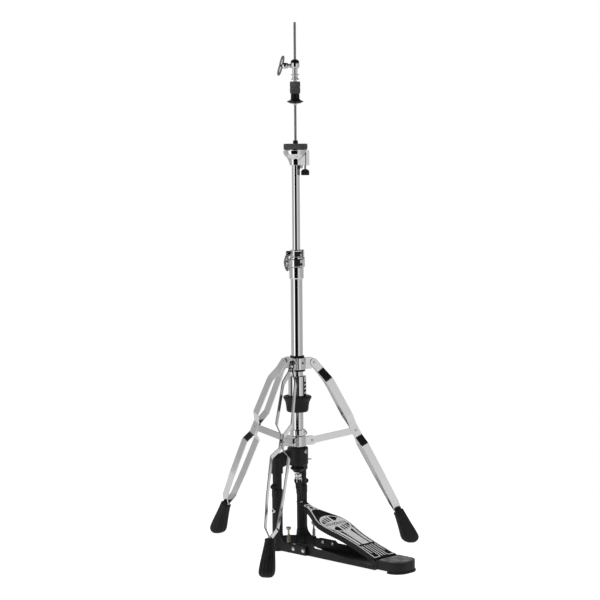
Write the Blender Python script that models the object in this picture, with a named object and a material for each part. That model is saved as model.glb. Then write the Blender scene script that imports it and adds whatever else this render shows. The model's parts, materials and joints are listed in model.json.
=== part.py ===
"""Hi-hat stand: pedal, pull rod, folding tripod, telescoping column, tilting seat and clutch.

Metres, +Z up. The stand is mirror-symmetric about X = 0, the pedal points towards -Y, and the
origin is on the floor at the centre of the stand's footprint. Everything is parented to the empty
"column_axis", which stands on the floor in the column's axis, so most positions below are given
from that axis.
"""

import math

import bmesh
import bpy
from mathutils import Matrix, Vector

MM = 0.001
GAP = 0.3 * MM                      # air between touching solids
RUNNING = 0.35 * MM                 # air round pieces that slide or turn on a tube
UP = Vector((0.0, 0.0, 1.0))

# ---------------------------------------------------------------- column
LOWER_TUBE_R = 14.3 * MM            # 1-1/8 inch tube
LOWER_TUBE_WALL = 1.6 * MM
LOWER_TUBE_TOP = 690.0 * MM
UPPER_TUBE_R = 9.52 * MM            # 3/4 inch tube
UPPER_TUBE_WALL = 1.2 * MM
UPPER_TUBE_INSERT = 100.0 * MM      # length of the upper tube inside the lower one
ROD_R = 3.0 * MM
ROD_TOP = 1286.0 * MM
ROD_BOTTOM = 179.0 * MM
COUPLER_BOTTOM = 378.0 * MM
COUPLER_LENGTH = 24.0 * MM
COUPLER_R = 5.5 * MM
CLAMP_SLEEVE_R = 17.6 * MM
CLAMP_SLEEVE_DROP = 22.0 * MM       # sleeve of the height clamp below the tube's top
CLAMP_TOP = 720.0 * MM
MEMORY_LOCK_HEIGHT = 19.0 * MM
SEAT_BOTTOM = 944.0 * MM
SEAT_TOP = 977.0 * MM
SEAT_CUP_R = 27.0 * MM
SEAT_FELT_R = 29.0 * MM
SEAT_FELT_HEIGHT = 14.0 * MM
SEAT_FELT_TOP = 995.0 * MM
SEAT_SLEEVE_R = 6.0 * MM
SEAT_SLEEVE_TOP = 1003.0 * MM
SEAT_SLEEVE_BORE = 5.3 * MM         # leaves the rod free when the seat tilts

# ---------------------------------------------------------------- clutch
CLUTCH_NECK_R = 6.2 * MM
CLUTCH_THREAD_R = 4.6 * MM
CLUTCH_BALL_R = 11.0 * MM
CLUTCH_CAP_TOP = 1197.0 * MM
CLUTCH_BALL_TOP = 1189.0 * MM
CLUTCH_NECK_TOP = 1175.0 * MM
LOCK_NUT_TOP = 1161.5 * MM
LOCK_NUT_HEIGHT = 6.4 * MM
LOCK_NUT_R = 11.0 * MM
CLUTCH_FELT_TOP = 1144.0 * MM
CLUTCH_FELT_HEIGHT = 14.2 * MM
CLUTCH_FELT_R = 12.6 * MM
BOTTOM_NUT_TOP = 1115.0 * MM
BOTTOM_NUT_BOTTOM = 1091.0 * MM
BOTTOM_NUT_R = 10.5 * MM
BOTTOM_NUT_FLANGE_R = 20.5 * MM
WING_AZIMUTH = math.radians(134.5)  # both wing bolts point to the left of the player's view
WING_HEIGHT = 1182.0 * MM

# ---------------------------------------------------------------- tripod
LEG_AZIMUTHS = {"rear": math.radians(90.0), "left": math.radians(210.0), "right": math.radians(330.0)}
HINGE_R = 41.5 * MM
HINGE_Z = 463.0 * MM
KNEE_R = 79.5 * MM
KNEE_Z = 417.0 * MM
LEG_END_R = 260.4 * MM
LEG_END_Z = 78.9 * MM
LEG_TONGUE = 24.0 * MM              # stretch of each strip held inside the rubber foot
STRIP_WIDTH = 19.0 * MM
STRIP_THICKNESS = 2.5 * MM
MID_PIVOT_FRACTION = 0.376          # of the straight stretch from knee to foot
BRACE_R = 36.1 * MM
BRACE_Z = 271.0 * MM
BRACE_WIDTH = 16.5 * MM
BRACE_THICKNESS = 3.0 * MM
BRACE_END_R = 10.6 * MM
RIVET_R = 3.0 * MM
RIVET_HEAD_R = 4.6 * MM
RIVET_HEAD_HEIGHT = 1.6 * MM
TOP_COLLAR_R = 20.0 * MM
TOP_COLLAR_BOTTOM = 446.4 * MM
TOP_COLLAR_TOP = 477.0 * MM
TOP_COLLAR_LUG = 3.5 * MM           # half thickness of a hinge lug
LOWER_COLLAR_R = 19.0 * MM
LOWER_COLLAR_BOTTOM = 257.0 * MM
LOWER_COLLAR_TOP = 284.0 * MM
LOCK_RING_HEIGHT = 16.0 * MM
SPRING_SLEEVE_R = 22.0 * MM
SPRING_SLEEVE_BOTTOM = 381.0 * MM
SPRING_SLEEVE_TOP = 432.0 * MM
KNOB_BOTTOM = 343.0 * MM
KNOB_LIP_R = 35.0 * MM
KNOB_HEIGHT = 40.0 * MM
KNOB_FLOOR = 4.0 * MM

# ---------------------------------------------------------------- base and pedal
HUB_R = 25.0 * MM
HUB_BOTTOM = 212.0 * MM
HUB_TOP = 256.5 * MM
POST_X = 43.0 * MM
POST_Y = 29.0 * MM
POST_R = 11.3 * MM
POST_SLEEVE_R = 12.8 * MM
SOCKET_R = 14.2 * MM
SOCKET_BOTTOM = 192.0 * MM
SOCKET_TOP = 241.0 * MM
POST_SPLIT_Z = 154.0 * MM           # where the upper post enters its lower sleeve
POST_FOOT_Z = 44.0 * MM
HOOP_HALF_WIDTH = 50.0 * MM
HOOP_THICKNESS = 9.0 * MM
HOOP_BACK_Y = 64.0 * MM
HOOP_BOTTOM = 3.0 * MM
HOOP_TOP = 26.0 * MM
HOOP_FRONT_Y = -72.0 * MM
CHANNEL_WALL = 2.5 * MM
CHANNEL_FRONT_Y = -28.0 * MM
CHANNEL_HEEL_Y = -290.0 * MM
CHANNEL_WINDOW_Y = -66.0 * MM
CHANNEL_HEEL_HALF_WIDTH = 43.0 * MM
HEEL_FRONT_Y = -292.0 * MM
HEEL_END_Y = -362.0 * MM
HEEL_HALF_WIDTH = 39.0 * MM
HEEL_TOP = 27.0 * MM
HEEL_RUBBER_HEIGHT = 5.0 * MM
HEEL_RUBBER_LIP = 2.0 * MM
PEDAL_PIVOT_Y = -283.0 * MM
PEDAL_PIVOT_Z = 20.0 * MM
PEDAL_SLOPE = math.radians(18.8)
PEDAL_LENGTH = 275.0 * MM
PEDAL_THICKNESS = 4.0 * MM
PEDAL_SKIRT = 9.0 * MM
PEDAL_TOP_OFFSET = 9.5 * MM         # top surface above the pivot's axis, square to the board
PIN_R = 3.0 * MM
CHAIN_PIVOT_Z = 172.0 * MM
CHAIN_LENGTH = 52.0 * MM
CHAIN_WIDTH = 16.0 * MM
CHAIN_THICKNESS = 5.0 * MM
CHAIN_TILT = math.radians(-10.6)
CHAIN_PIN_LENGTH = 51.5 * MM        # from the rod's pivot to the pedal's
SPUR_X = 44.0 * MM
SPUR_Y = -10.0 * MM
SPUR_TOP = 66.0 * MM
SPUR_R = 2.6 * MM
SPUR_HEAD_R = 6.0 * MM

FOOT_REACH = LEG_END_R + 51.6 * MM  # tip of a rubber foot from the column's axis
COLUMN_Y = -(FOOT_REACH + HEEL_END_Y) / 2.0

MATERIALS = {
    "chrome": ((0.80, 0.80, 0.81), 0.12, 1.0),
    "satin_steel": ((0.62, 0.62, 0.63), 0.35, 1.0),
    "black_casting": ((0.030, 0.030, 0.032), 0.45, 0.0),
    "black_plastic": ((0.020, 0.020, 0.021), 0.50, 0.0),
    "rubber": ((0.025, 0.025, 0.025), 0.80, 0.0),
    "felt": ((0.075, 0.075, 0.080), 0.95, 0.0),
    "zinc": ((0.36, 0.33, 0.28), 0.40, 1.0),
    "pedal": ((0.10, 0.10, 0.11), 0.40, 0.3),
}


# ---------------------------------------------------------------- modelling helpers
def material(name):
    """The named Principled material, made on first use."""
    found = bpy.data.materials.get(name)
    if found:
        return found
    colour, roughness, metallic = MATERIALS[name]
    made = bpy.data.materials.new(name)
    made.use_nodes = True
    shader = made.node_tree.nodes["Principled BSDF"]
    shader.inputs["Base Color"].default_value = (*colour, 1.0)
    shader.inputs["Roughness"].default_value = roughness
    shader.inputs["Metallic"].default_value = metallic
    made.diffuse_color = (*colour, 1.0)
    return made


def empty(name, parent=None, location=(0.0, 0.0, 0.0), turn=0.0):
    """An empty that carries a group, turned about Z."""
    made = bpy.data.objects.new(name, None)
    made.location = location
    made.rotation_euler = (0.0, 0.0, turn)
    made.parent = parent
    bpy.context.collection.objects.link(made)
    return made


def finish(bm, name, material_name, parent, location=(0.0, 0.0, 0.0), rotation=(0.0, 0.0, 0.0)):
    """Turn a bmesh into a named, smooth-shaded object."""
    bmesh.ops.remove_doubles(bm, verts=bm.verts, dist=1e-6)
    bmesh.ops.recalc_face_normals(bm, faces=bm.faces)
    mesh = bpy.data.meshes.new(name)
    bm.to_mesh(mesh)
    bm.free()
    mesh.materials.append(material(material_name))
    mesh.shade_smooth()
    mesh.set_sharp_from_angle(angle=math.radians(35.0))
    made = bpy.data.objects.new(name, mesh)
    made.location = location
    made.rotation_euler = rotation
    made.parent = parent
    bpy.context.collection.objects.link(made)
    return made


def lathe(outline, steps=24, closed=False):
    """Spin (radius, height) points about Z. Closed outlines make rings, open ones end on the axis."""
    bm = bmesh.new()
    verts = [bm.verts.new((r, 0.0, z)) for r, z in outline]
    pairs = list(zip(verts, verts[1:]))
    if closed:
        pairs.append((verts[-1], verts[0]))
    edges = [bm.edges.new(pair) for pair in pairs]
    bmesh.ops.spin(bm, geom=verts + edges, axis=UP, cent=(0.0, 0.0, 0.0), angle=math.tau,
                   steps=steps, use_merge=True)
    bmesh.ops.remove_doubles(bm, verts=bm.verts, dist=1e-6)
    return bm


def ring(inner, outer, bottom, top, steps=24):
    """A plain tube about Z."""
    return lathe([(inner, bottom), (outer, bottom), (outer, top), (inner, top)], steps, closed=True)


def bar(radius, bottom, top, steps=16):
    """A plain solid cylinder about Z."""
    return lathe([(0.0, bottom), (radius, bottom), (radius, top), (0.0, top)], steps)


def prism(outline, depth, plane="XY", start=0.0):
    """Extrude a flat outline: "XY" goes up along Z, "XZ" goes along Y."""
    bm = bmesh.new()
    if plane == "XY":
        verts = [bm.verts.new((x, y, start)) for x, y in outline]
        step = Vector((0.0, 0.0, depth))
    else:
        verts = [bm.verts.new((x, start, z)) for x, z in outline]
        step = Vector((0.0, depth, 0.0))
    face = bm.faces.new(verts)
    grown = bmesh.ops.extrude_face_region(bm, geom=[face])
    moved = [item for item in grown["geom"] if isinstance(item, bmesh.types.BMVert)]
    bmesh.ops.translate(bm, verts=moved, vec=step)
    return bm


def box(low, high):
    """A box between two corners."""
    bm = bmesh.new()
    bmesh.ops.create_cube(bm, size=1.0)
    size = [b - a for a, b in zip(low, high)]
    middle = [(a + b) / 2.0 for a, b in zip(low, high)]
    bmesh.ops.scale(bm, verts=bm.verts, vec=size)
    bmesh.ops.translate(bm, verts=bm.verts, vec=middle)
    return bm


def loft(rings):
    """Join rings of points, all with the same count, and close both ends."""
    bm = bmesh.new()
    loops = [[bm.verts.new(point) for point in points] for points in rings]
    count = len(loops[0])
    for low, high in zip(loops, loops[1:]):
        for i in range(count):
            j = (i + 1) % count
            bm.faces.new((low[i], low[j], high[j], high[i]))
    bm.faces.new(loops[0])
    bm.faces.new(loops[-1])
    return bm


def arc(centre, radius, start, end, steps):
    """Points on a circular arc, angles in degrees."""
    points = []
    for i in range(steps + 1):
        angle = math.radians(start + (end - start) * i / steps)
        points.append((centre[0] + radius * math.cos(angle), centre[1] + radius * math.sin(angle)))
    return points


def placed(bm, matrix):
    """The same bmesh, moved by a matrix."""
    bmesh.ops.transform(bm, matrix=matrix, verts=bm.verts)
    return bm


def boolean(bm, tool, operation="UNION"):
    """Apply one exact boolean and return the result as a new bmesh."""
    objects = []
    for label, source in (("target", bm), ("tool", tool)):
        bmesh.ops.recalc_face_normals(source, faces=source.faces)
        mesh = bpy.data.meshes.new(label)
        source.to_mesh(mesh)
        source.free()
        made = bpy.data.objects.new(label, mesh)
        bpy.context.collection.objects.link(made)
        objects.append(made)
    target, cutter = objects
    modifier = target.modifiers.new("cut", "BOOLEAN")
    modifier.operation = operation
    modifier.solver = "EXACT"
    modifier.object = cutter
    graph = bpy.context.evaluated_depsgraph_get()
    result = bmesh.new()
    result.from_object(target, graph)
    for made in objects:
        mesh = made.data
        bpy.data.objects.remove(made)
        bpy.data.meshes.remove(mesh)
    return result


def fused(*parts):
    """Union of several solids."""
    result = parts[0]
    for part in parts[1:]:
        result = boolean(result, part, "UNION")
    return result


def cut(bm, *tools):
    """A solid less several others."""
    for tool in tools:
        bm = boolean(bm, tool, "DIFFERENCE")
    return bm


def lying(azimuth, centre):
    """Matrix that lays a solid made about Z along a level line at an azimuth, its +Z outward."""
    outward = Vector((math.cos(azimuth), math.sin(azimuth), 0.0))
    side = UP.cross(outward)
    turn = Matrix((side, UP, outward)).transposed().to_4x4()
    return Matrix.Translation(centre) @ turn


def across(x, z, start, end, radius, steps=12):
    """A cylinder along Y, between start and end."""
    turn = Matrix.Rotation(-math.pi / 2.0, 4, "X")
    return placed(bar(radius, start, end, steps), Matrix.Translation((x, 0.0, z)) @ turn)


# ---------------------------------------------------------------- column
def build_base_tube(parent):
    inner = LOWER_TUBE_R - LOWER_TUBE_WALL
    bottom = HUB_BOTTOM + 4.0 * MM
    shelf = COUPLER_BOTTOM - 78.0 * MM
    shelf_height = 4.0 * MM
    outline = [
        (inner, bottom), (LOWER_TUBE_R, bottom), (LOWER_TUBE_R, LOWER_TUBE_TOP),
        (inner, LOWER_TUBE_TOP),
        (inner, shelf), (COUPLER_R - 1.0 * MM, shelf), (COUPLER_R - 1.0 * MM, shelf - shelf_height),
        (inner, shelf - shelf_height),
    ]
    finish(lathe(outline, closed=True), "base_tube", "chrome", parent)
    build_return_spring(parent, shelf + GAP, COUPLER_BOTTOM - GAP)


def build_return_spring(parent, bottom, top):
    """Compression spring round the rod, between the tube's shelf and the rod's coupler."""
    wire = 1.1 * MM
    coil = 7.6 * MM
    turns = 6
    steps_per_turn = 12
    sides = 5
    rings = []
    for i in range(turns * steps_per_turn + 1):
        turn = math.tau * i / steps_per_turn
        share = i / (turns * steps_per_turn)
        height = bottom + wire + (top - bottom - 2.0 * wire) * share
        outward = Vector((math.cos(turn), math.sin(turn), 0.0))
        centre = outward * coil + UP * height
        points = []
        for k in range(sides):
            angle = math.tau * k / sides
            points.append(centre + outward * (wire * math.cos(angle)) + UP * (wire * math.sin(angle)))
        rings.append(points)
    finish(loft(rings), "return_spring", "zinc", parent)


def build_tube_bushing(parent):
    inner = UPPER_TUBE_R + RUNNING
    outer = LOWER_TUBE_R - LOWER_TUBE_WALL - GAP
    bottom = LOWER_TUBE_TOP - UPPER_TUBE_INSERT * 0.6
    flange = 3.0 * MM
    outline = [
        (inner, bottom), (outer, bottom), (outer, LOWER_TUBE_TOP + GAP),
        (LOWER_TUBE_R, LOWER_TUBE_TOP + GAP),
        (LOWER_TUBE_R, LOWER_TUBE_TOP + flange), (inner, LOWER_TUBE_TOP + flange),
    ]
    finish(lathe(outline, closed=True), "tube_bushing", "black_plastic", parent)


def wing_bolt(shank_r, shank, barrel_r, barrel, wing_span, wing_reach):
    """Wing bolt along +Z: shank from 0, then a barrel, then two open wings."""
    steps = 12
    outline = [
        (0.0, 0.0), (shank_r, 0.0), (shank_r, shank), (barrel_r * 0.8, shank + 1.0 * MM),
        (barrel_r, shank + 3.0 * MM), (barrel_r, shank + barrel - 2.0 * MM),
        (barrel_r * 0.8, shank + barrel), (0.0, shank + barrel),
    ]
    body = lathe(outline, steps)
    thickness = 3.6 * MM
    root = shank + barrel - 6.0 * MM
    for side in (-1.0, 1.0):
        far = side * wing_span / 2.0
        loop = [
            (side * barrel_r * 0.5, root), (far * 0.80, root + wing_reach * 0.30),
            (far, root + wing_reach * 0.72), (far * 0.93, root + wing_reach),
            (far * 0.72, root + wing_reach * 0.92), (side * barrel_r * 0.4, root + 5.6 * MM),
        ]
        wing = prism(loop, thickness, "XZ", -thickness / 2.0)
        body = fused(body, wing)
    return body


def build_height_clamp(parent):
    """Split clamp on the lower tube's top; its wing bolt squeezes the upper tube."""
    sleeve_bottom = LOWER_TUBE_TOP - CLAMP_SLEEVE_DROP
    bore = LOWER_TUBE_R + GAP
    neck = UPPER_TUBE_R + RUNNING
    shelf = LOWER_TUBE_TOP + 3.0 * MM + GAP
    outline = [
        (bore, sleeve_bottom), (CLAMP_SLEEVE_R - 1.5 * MM, sleeve_bottom),
        (CLAMP_SLEEVE_R, sleeve_bottom + 4.0 * MM),
        (CLAMP_SLEEVE_R, LOWER_TUBE_TOP + 6.0 * MM),
        (CLAMP_SLEEVE_R - 3.0 * MM, LOWER_TUBE_TOP + 9.0 * MM),
        (CLAMP_SLEEVE_R - 3.0 * MM, CLAMP_TOP), (neck, CLAMP_TOP), (neck, shelf), (bore, shelf),
    ]
    body = lathe(outline, closed=True)
    ear_middle = (shelf + CLAMP_TOP) / 2.0 + 1.0 * MM
    outward = Vector((math.cos(WING_AZIMUTH), math.sin(WING_AZIMUTH), 0.0))
    ears = box((-6.5 * MM, -6.5 * MM, 10.5 * MM), (6.5 * MM, 6.5 * MM, 17.8 * MM))
    back = box((-7.0 * MM, -7.5 * MM, -19.0 * MM), (7.0 * MM, 7.5 * MM, -11.5 * MM))
    frame = lying(WING_AZIMUTH, (0.0, 0.0, ear_middle))
    body = fused(body, placed(ears, frame), placed(back, frame))
    bolt_start = 11.4 * MM
    hole = placed(bar(2.6 * MM + GAP, bolt_start, 30.0 * MM, 12), frame)
    body = cut(body, hole)
    finish(body, "height_clamp", "chrome", parent)
    bolt = wing_bolt(2.6 * MM, 7.0 * MM, 5.2 * MM, 8.5 * MM, 31.0 * MM, 12.5 * MM)
    bolt = placed(bolt, Matrix.Rotation(math.radians(70.0), 4, "Z"))
    seat = Vector((0.0, 0.0, ear_middle)) + outward * (bolt_start + GAP)
    axis = empty("height_wing_axis", parent, seat)
    finish(placed(bolt, lying(WING_AZIMUTH, (0.0, 0.0, 0.0))), "height_wing_bolt", "chrome", axis)


def build_upper_tube(parent):
    bottom = LOWER_TUBE_TOP - UPPER_TUBE_INSERT
    top = SEAT_BOTTOM + 12.0 * MM
    finish(ring(UPPER_TUBE_R - UPPER_TUBE_WALL, UPPER_TUBE_R, bottom, top), "upper_tube", "chrome",
           parent)


def build_memory_lock(parent):
    """Hinged ring that keeps the height: it sits on the clamp, round the upper tube."""
    bottom = CLAMP_TOP + GAP
    top = CLAMP_TOP + MEMORY_LOCK_HEIGHT
    body = ring(UPPER_TUBE_R + RUNNING, 14.0 * MM, bottom, top)
    frame = lying(WING_AZIMUTH, (0.0, 0.0, (bottom + top) / 2.0))
    ears = box((-5.0 * MM, -6.0 * MM, 10.5 * MM), (5.0 * MM, 6.0 * MM, 22.0 * MM))
    knuckle = placed(bar(4.5 * MM, -8.0 * MM, 8.0 * MM, 12), Matrix.Rotation(math.pi / 2.0, 4, "X"))
    knuckle = placed(knuckle, Matrix.Translation((0.0, 0.0, -16.0 * MM)))
    body = fused(body, placed(ears, frame), placed(knuckle, frame))
    slot = box((-0.8 * MM, -12.0 * MM, 8.0 * MM), (0.8 * MM, 12.0 * MM, 26.0 * MM))
    body = cut(body, placed(slot, frame))
    hole_turn = Matrix.Translation((0.0, 0.0, 17.0 * MM)) @ Matrix.Rotation(math.pi / 2.0, 4, "Y")
    hole = placed(placed(bar(2.0 * MM + GAP, -9.0 * MM, 9.0 * MM, 12), hole_turn), frame)
    body = cut(body, hole)
    finish(body, "memory_lock", "chrome", parent)
    outline = [(0.0, -6.5 * MM), (2.0 * MM, -6.5 * MM), (2.0 * MM, 5.0 * MM + GAP),
               (4.0 * MM, 5.0 * MM + GAP),
               (4.0 * MM, 9.0 * MM), (2.6 * MM, 10.5 * MM), (0.0, 10.5 * MM)]
    screw = placed(placed(lathe(outline, 12), hole_turn), frame)
    finish(screw, "memory_lock_screw", "chrome", parent)


def build_seat_casting(parent):
    """Chrome tilter body on the upper tube, open in the middle for the rod."""
    bore = UPPER_TUBE_R + GAP
    rod_hole = ROD_R + 2.5 * MM
    shelf = SEAT_BOTTOM + 12.0 * MM + GAP
    outline = [
        (bore, SEAT_BOTTOM), (11.5 * MM, SEAT_BOTTOM), (13.0 * MM, SEAT_BOTTOM + 8.0 * MM),
        (15.5 * MM, SEAT_BOTTOM + 16.0 * MM), (20.0 * MM, SEAT_BOTTOM + 23.0 * MM),
        (22.0 * MM, SEAT_TOP - 3.0 * MM), (22.0 * MM, SEAT_TOP), (rod_hole + 6.0 * MM, SEAT_TOP),
        (rod_hole, SEAT_TOP - 8.0 * MM), (rod_hole, shelf), (bore, shelf),
    ]
    body = lathe(outline, closed=True)
    azimuth = WING_AZIMUTH + math.pi
    frame = lying(azimuth, (0.0, 0.0, SEAT_BOTTOM))
    bracket = box((-8.0 * MM, -2.0 * MM, 11.0 * MM), (8.0 * MM, SEAT_TOP - SEAT_BOTTOM, 30.0 * MM))
    body = fused(body, placed(bracket, frame))
    screw_hole = placed(bar(2.3 * MM + GAP, SEAT_BOTTOM - 9.0 * MM, SEAT_TOP + 9.0 * MM, 12),
                        Matrix.Translation(tilt_knob_place(0.0)))
    body = cut(body, screw_hole)
    finish(body, "seat_casting", "chrome", parent)
    key = [(0.0, SEAT_BOTTOM - 24.0 * MM), (1.6 * MM, SEAT_BOTTOM - 24.0 * MM),
           (1.6 * MM, SEAT_BOTTOM - 9.0 * MM),
           (2.2 * MM, SEAT_BOTTOM - 8.0 * MM), (2.2 * MM, SEAT_BOTTOM - 2.0 * MM - GAP),
           (0.0, SEAT_BOTTOM - 2.0 * MM - GAP)]
    key_place = Vector((math.cos(azimuth - 0.9), math.sin(azimuth - 0.9), 0.0)) * 13.4 * MM
    finish(lathe(key, 10), "seat_key_screw", "black_plastic", parent, key_place)


def tilt_knob_place(height):
    """The tilt screw stands beside the upper tube, opposite the wing bolts."""
    azimuth = WING_AZIMUTH + math.pi
    reach = 23.0 * MM
    return Vector((reach * math.cos(azimuth), reach * math.sin(azimuth), height))


def build_tilt_knob(parent):
    outline = [(0.0, -25.0 * MM), (9.0 * MM, -25.0 * MM), (10.0 * MM, -23.5 * MM),
               (10.0 * MM, -13.0 * MM),
               (7.5 * MM, -10.0 * MM), (2.3 * MM, -9.0 * MM),
               (2.3 * MM, SEAT_TOP - SEAT_BOTTOM - 3.0 * MM),
               (0.0, SEAT_TOP - SEAT_BOTTOM - 3.0 * MM)]
    axis = empty("tilt_knob_axis", parent, tilt_knob_place(SEAT_BOTTOM))
    finish(lathe(outline, 16), "tilt_knob", "black_plastic", axis)


def build_seat(parent):
    """Cup, felt and sleeve that carry the lower cymbal; they tilt about the cup's far edge."""
    azimuth = WING_AZIMUTH
    edge = Vector((math.cos(azimuth), math.sin(azimuth), 0.0)) * 20.0 * MM + UP * (SEAT_TOP + GAP)
    axis = empty("seat_tilt_axis", parent, edge)
    back = -edge
    felt_bottom = SEAT_FELT_TOP - SEAT_FELT_HEIGHT
    bore = SEAT_SLEEVE_R + GAP
    cup = [(bore, SEAT_TOP + GAP), (SEAT_CUP_R - 3.0 * MM, SEAT_TOP + GAP),
           (SEAT_CUP_R, SEAT_TOP + 2.0 * MM),
           (SEAT_CUP_R, felt_bottom - GAP), (bore, felt_bottom - GAP)]
    finish(lathe(cup, closed=True), "seat_cup", "chrome", axis, back)
    felt = [(bore, felt_bottom), (SEAT_FELT_R - 1.0 * MM, felt_bottom),
            (SEAT_FELT_R, felt_bottom + 1.5 * MM),
            (SEAT_FELT_R, SEAT_FELT_TOP - 1.5 * MM), (SEAT_FELT_R - 1.0 * MM, SEAT_FELT_TOP),
            (bore, SEAT_FELT_TOP)]
    finish(lathe(felt, closed=True), "seat_felt", "felt", axis, back)
    sleeve = ring(SEAT_SLEEVE_BORE, SEAT_SLEEVE_R, SEAT_TOP + GAP, SEAT_SLEEVE_TOP, 16)
    finish(sleeve, "seat_sleeve", "black_plastic", axis, back)


# ---------------------------------------------------------------- pull rod and clutch
def build_pull_rod(parent):
    joint = COUPLER_BOTTOM + COUPLER_LENGTH / 2.0
    lower = [(0.0, ROD_BOTTOM), (ROD_R, ROD_BOTTOM), (ROD_R, COUPLER_BOTTOM),
             (COUPLER_R, COUPLER_BOTTOM),
             (COUPLER_R, COUPLER_BOTTOM + COUPLER_LENGTH),
             (ROD_R + GAP, COUPLER_BOTTOM + COUPLER_LENGTH),
             (ROD_R + GAP, joint), (0.0, joint)]
    finish(lathe(lower, 16), "pull_rod_lower", "satin_steel", parent)
    upper = [(0.0, joint + GAP), (ROD_R, joint + GAP), (ROD_R, ROD_TOP - 1.5 * MM),
             (ROD_R - 1.0 * MM, ROD_TOP), (0.0, ROD_TOP)]
    finish(lathe(upper, 16), "pull_rod_upper", "chrome", parent)
    bottom = CHAIN_PIVOT_Z + 4.0 * MM
    outline = [(0.0, bottom), (8.0 * MM, bottom), (9.0 * MM, bottom + 2.0 * MM),
               (9.0 * MM, bottom + 5.0 * MM),
               (7.4 * MM, bottom + 6.5 * MM), (8.6 * MM, bottom + 9.0 * MM),
               (8.6 * MM, bottom + 14.0 * MM),
               (ROD_R + GAP, bottom + 14.0 * MM), (ROD_R + GAP, ROD_BOTTOM - GAP),
               (0.0, ROD_BOTTOM - GAP)]
    finish(lathe(outline, 20), "rod_connector", "chrome", parent)


def chain_outline():
    """Side outline of the flat chain, pinched between links."""
    links = 6
    pitch = CHAIN_LENGTH / links
    half = CHAIN_WIDTH / 2.0
    pinch = half - 1.6 * MM
    right = []
    for i in range(links):
        top = 2.5 * MM - pitch * i
        right.append((pinch, top))
        right.append((half, top - pitch * 0.25))
        right.append((half, top - pitch * 0.75))
    right.append((pinch, 2.5 * MM - CHAIN_LENGTH))
    left = [(-x, z) for x, z in reversed(right)]
    return right + left


def build_chain(parent):
    axis = empty("chain_axis", parent, (0.0, 0.0, CHAIN_PIVOT_Z))
    body = prism(chain_outline(), CHAIN_THICKNESS, "XZ", -CHAIN_THICKNESS / 2.0)
    finish(body, "chain", "black_casting", axis, rotation=(CHAIN_TILT, 0.0, 0.0))


def build_clutch(parent):
    bore = ROD_R + GAP
    thread_bottom = BOTTOM_NUT_BOTTOM + 3.0 * MM
    outline = [
        (bore, thread_bottom), (CLUTCH_THREAD_R, thread_bottom), (CLUTCH_THREAD_R, LOCK_NUT_TOP),
        (CLUTCH_NECK_R, LOCK_NUT_TOP + GAP), (CLUTCH_NECK_R, CLUTCH_NECK_TOP),
        (CLUTCH_BALL_R - 1.5 * MM, CLUTCH_NECK_TOP + 2.0 * MM),
        (CLUTCH_BALL_R, CLUTCH_NECK_TOP + 5.0 * MM), (CLUTCH_BALL_R, CLUTCH_BALL_TOP - 3.0 * MM),
        (CLUTCH_BALL_R - 0.8 * MM, CLUTCH_BALL_TOP), (bore, CLUTCH_BALL_TOP),
    ]
    body = lathe(outline, 20, closed=True)
    frame = lying(WING_AZIMUTH, (0.0, 0.0, WING_HEIGHT))
    boss = placed(bar(5.0 * MM, 8.0 * MM, 13.5 * MM, 12), frame)
    hole = placed(bar(2.5 * MM + GAP, 6.5 * MM, 20.0 * MM, 12), frame)
    body = cut(fused(body, boss), hole)
    finish(body, "clutch_body", "chrome", parent)
    cap = [(bore, CLUTCH_BALL_TOP + GAP), (CLUTCH_BALL_R - 1.0 * MM, CLUTCH_BALL_TOP + GAP),
           (CLUTCH_BALL_R - 2.2 * MM, CLUTCH_BALL_TOP + 4.5 * MM),
           (CLUTCH_BALL_R - 5.0 * MM, CLUTCH_CAP_TOP),
           (bore, CLUTCH_CAP_TOP)]
    finish(lathe(cap, 20, closed=True), "clutch_cap", "black_plastic", parent)
    bolt = wing_bolt(2.5 * MM, 9.0 * MM, 6.6 * MM, 15.5 * MM, 47.0 * MM, 15.0 * MM)
    bolt = placed(bolt, Matrix.Rotation(math.radians(78.0), 4, "Z"))
    seat = Vector((math.cos(WING_AZIMUTH), math.sin(WING_AZIMUTH),
                   0.0)) * (6.5 * MM + GAP) + UP * WING_HEIGHT
    axis = empty("clutch_wing_axis", parent, seat)
    finish(placed(bolt, lying(WING_AZIMUTH, (0.0, 0.0, 0.0))), "clutch_wing_bolt", "chrome", axis)
    build_clutch_nuts_and_felts(parent)


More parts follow.
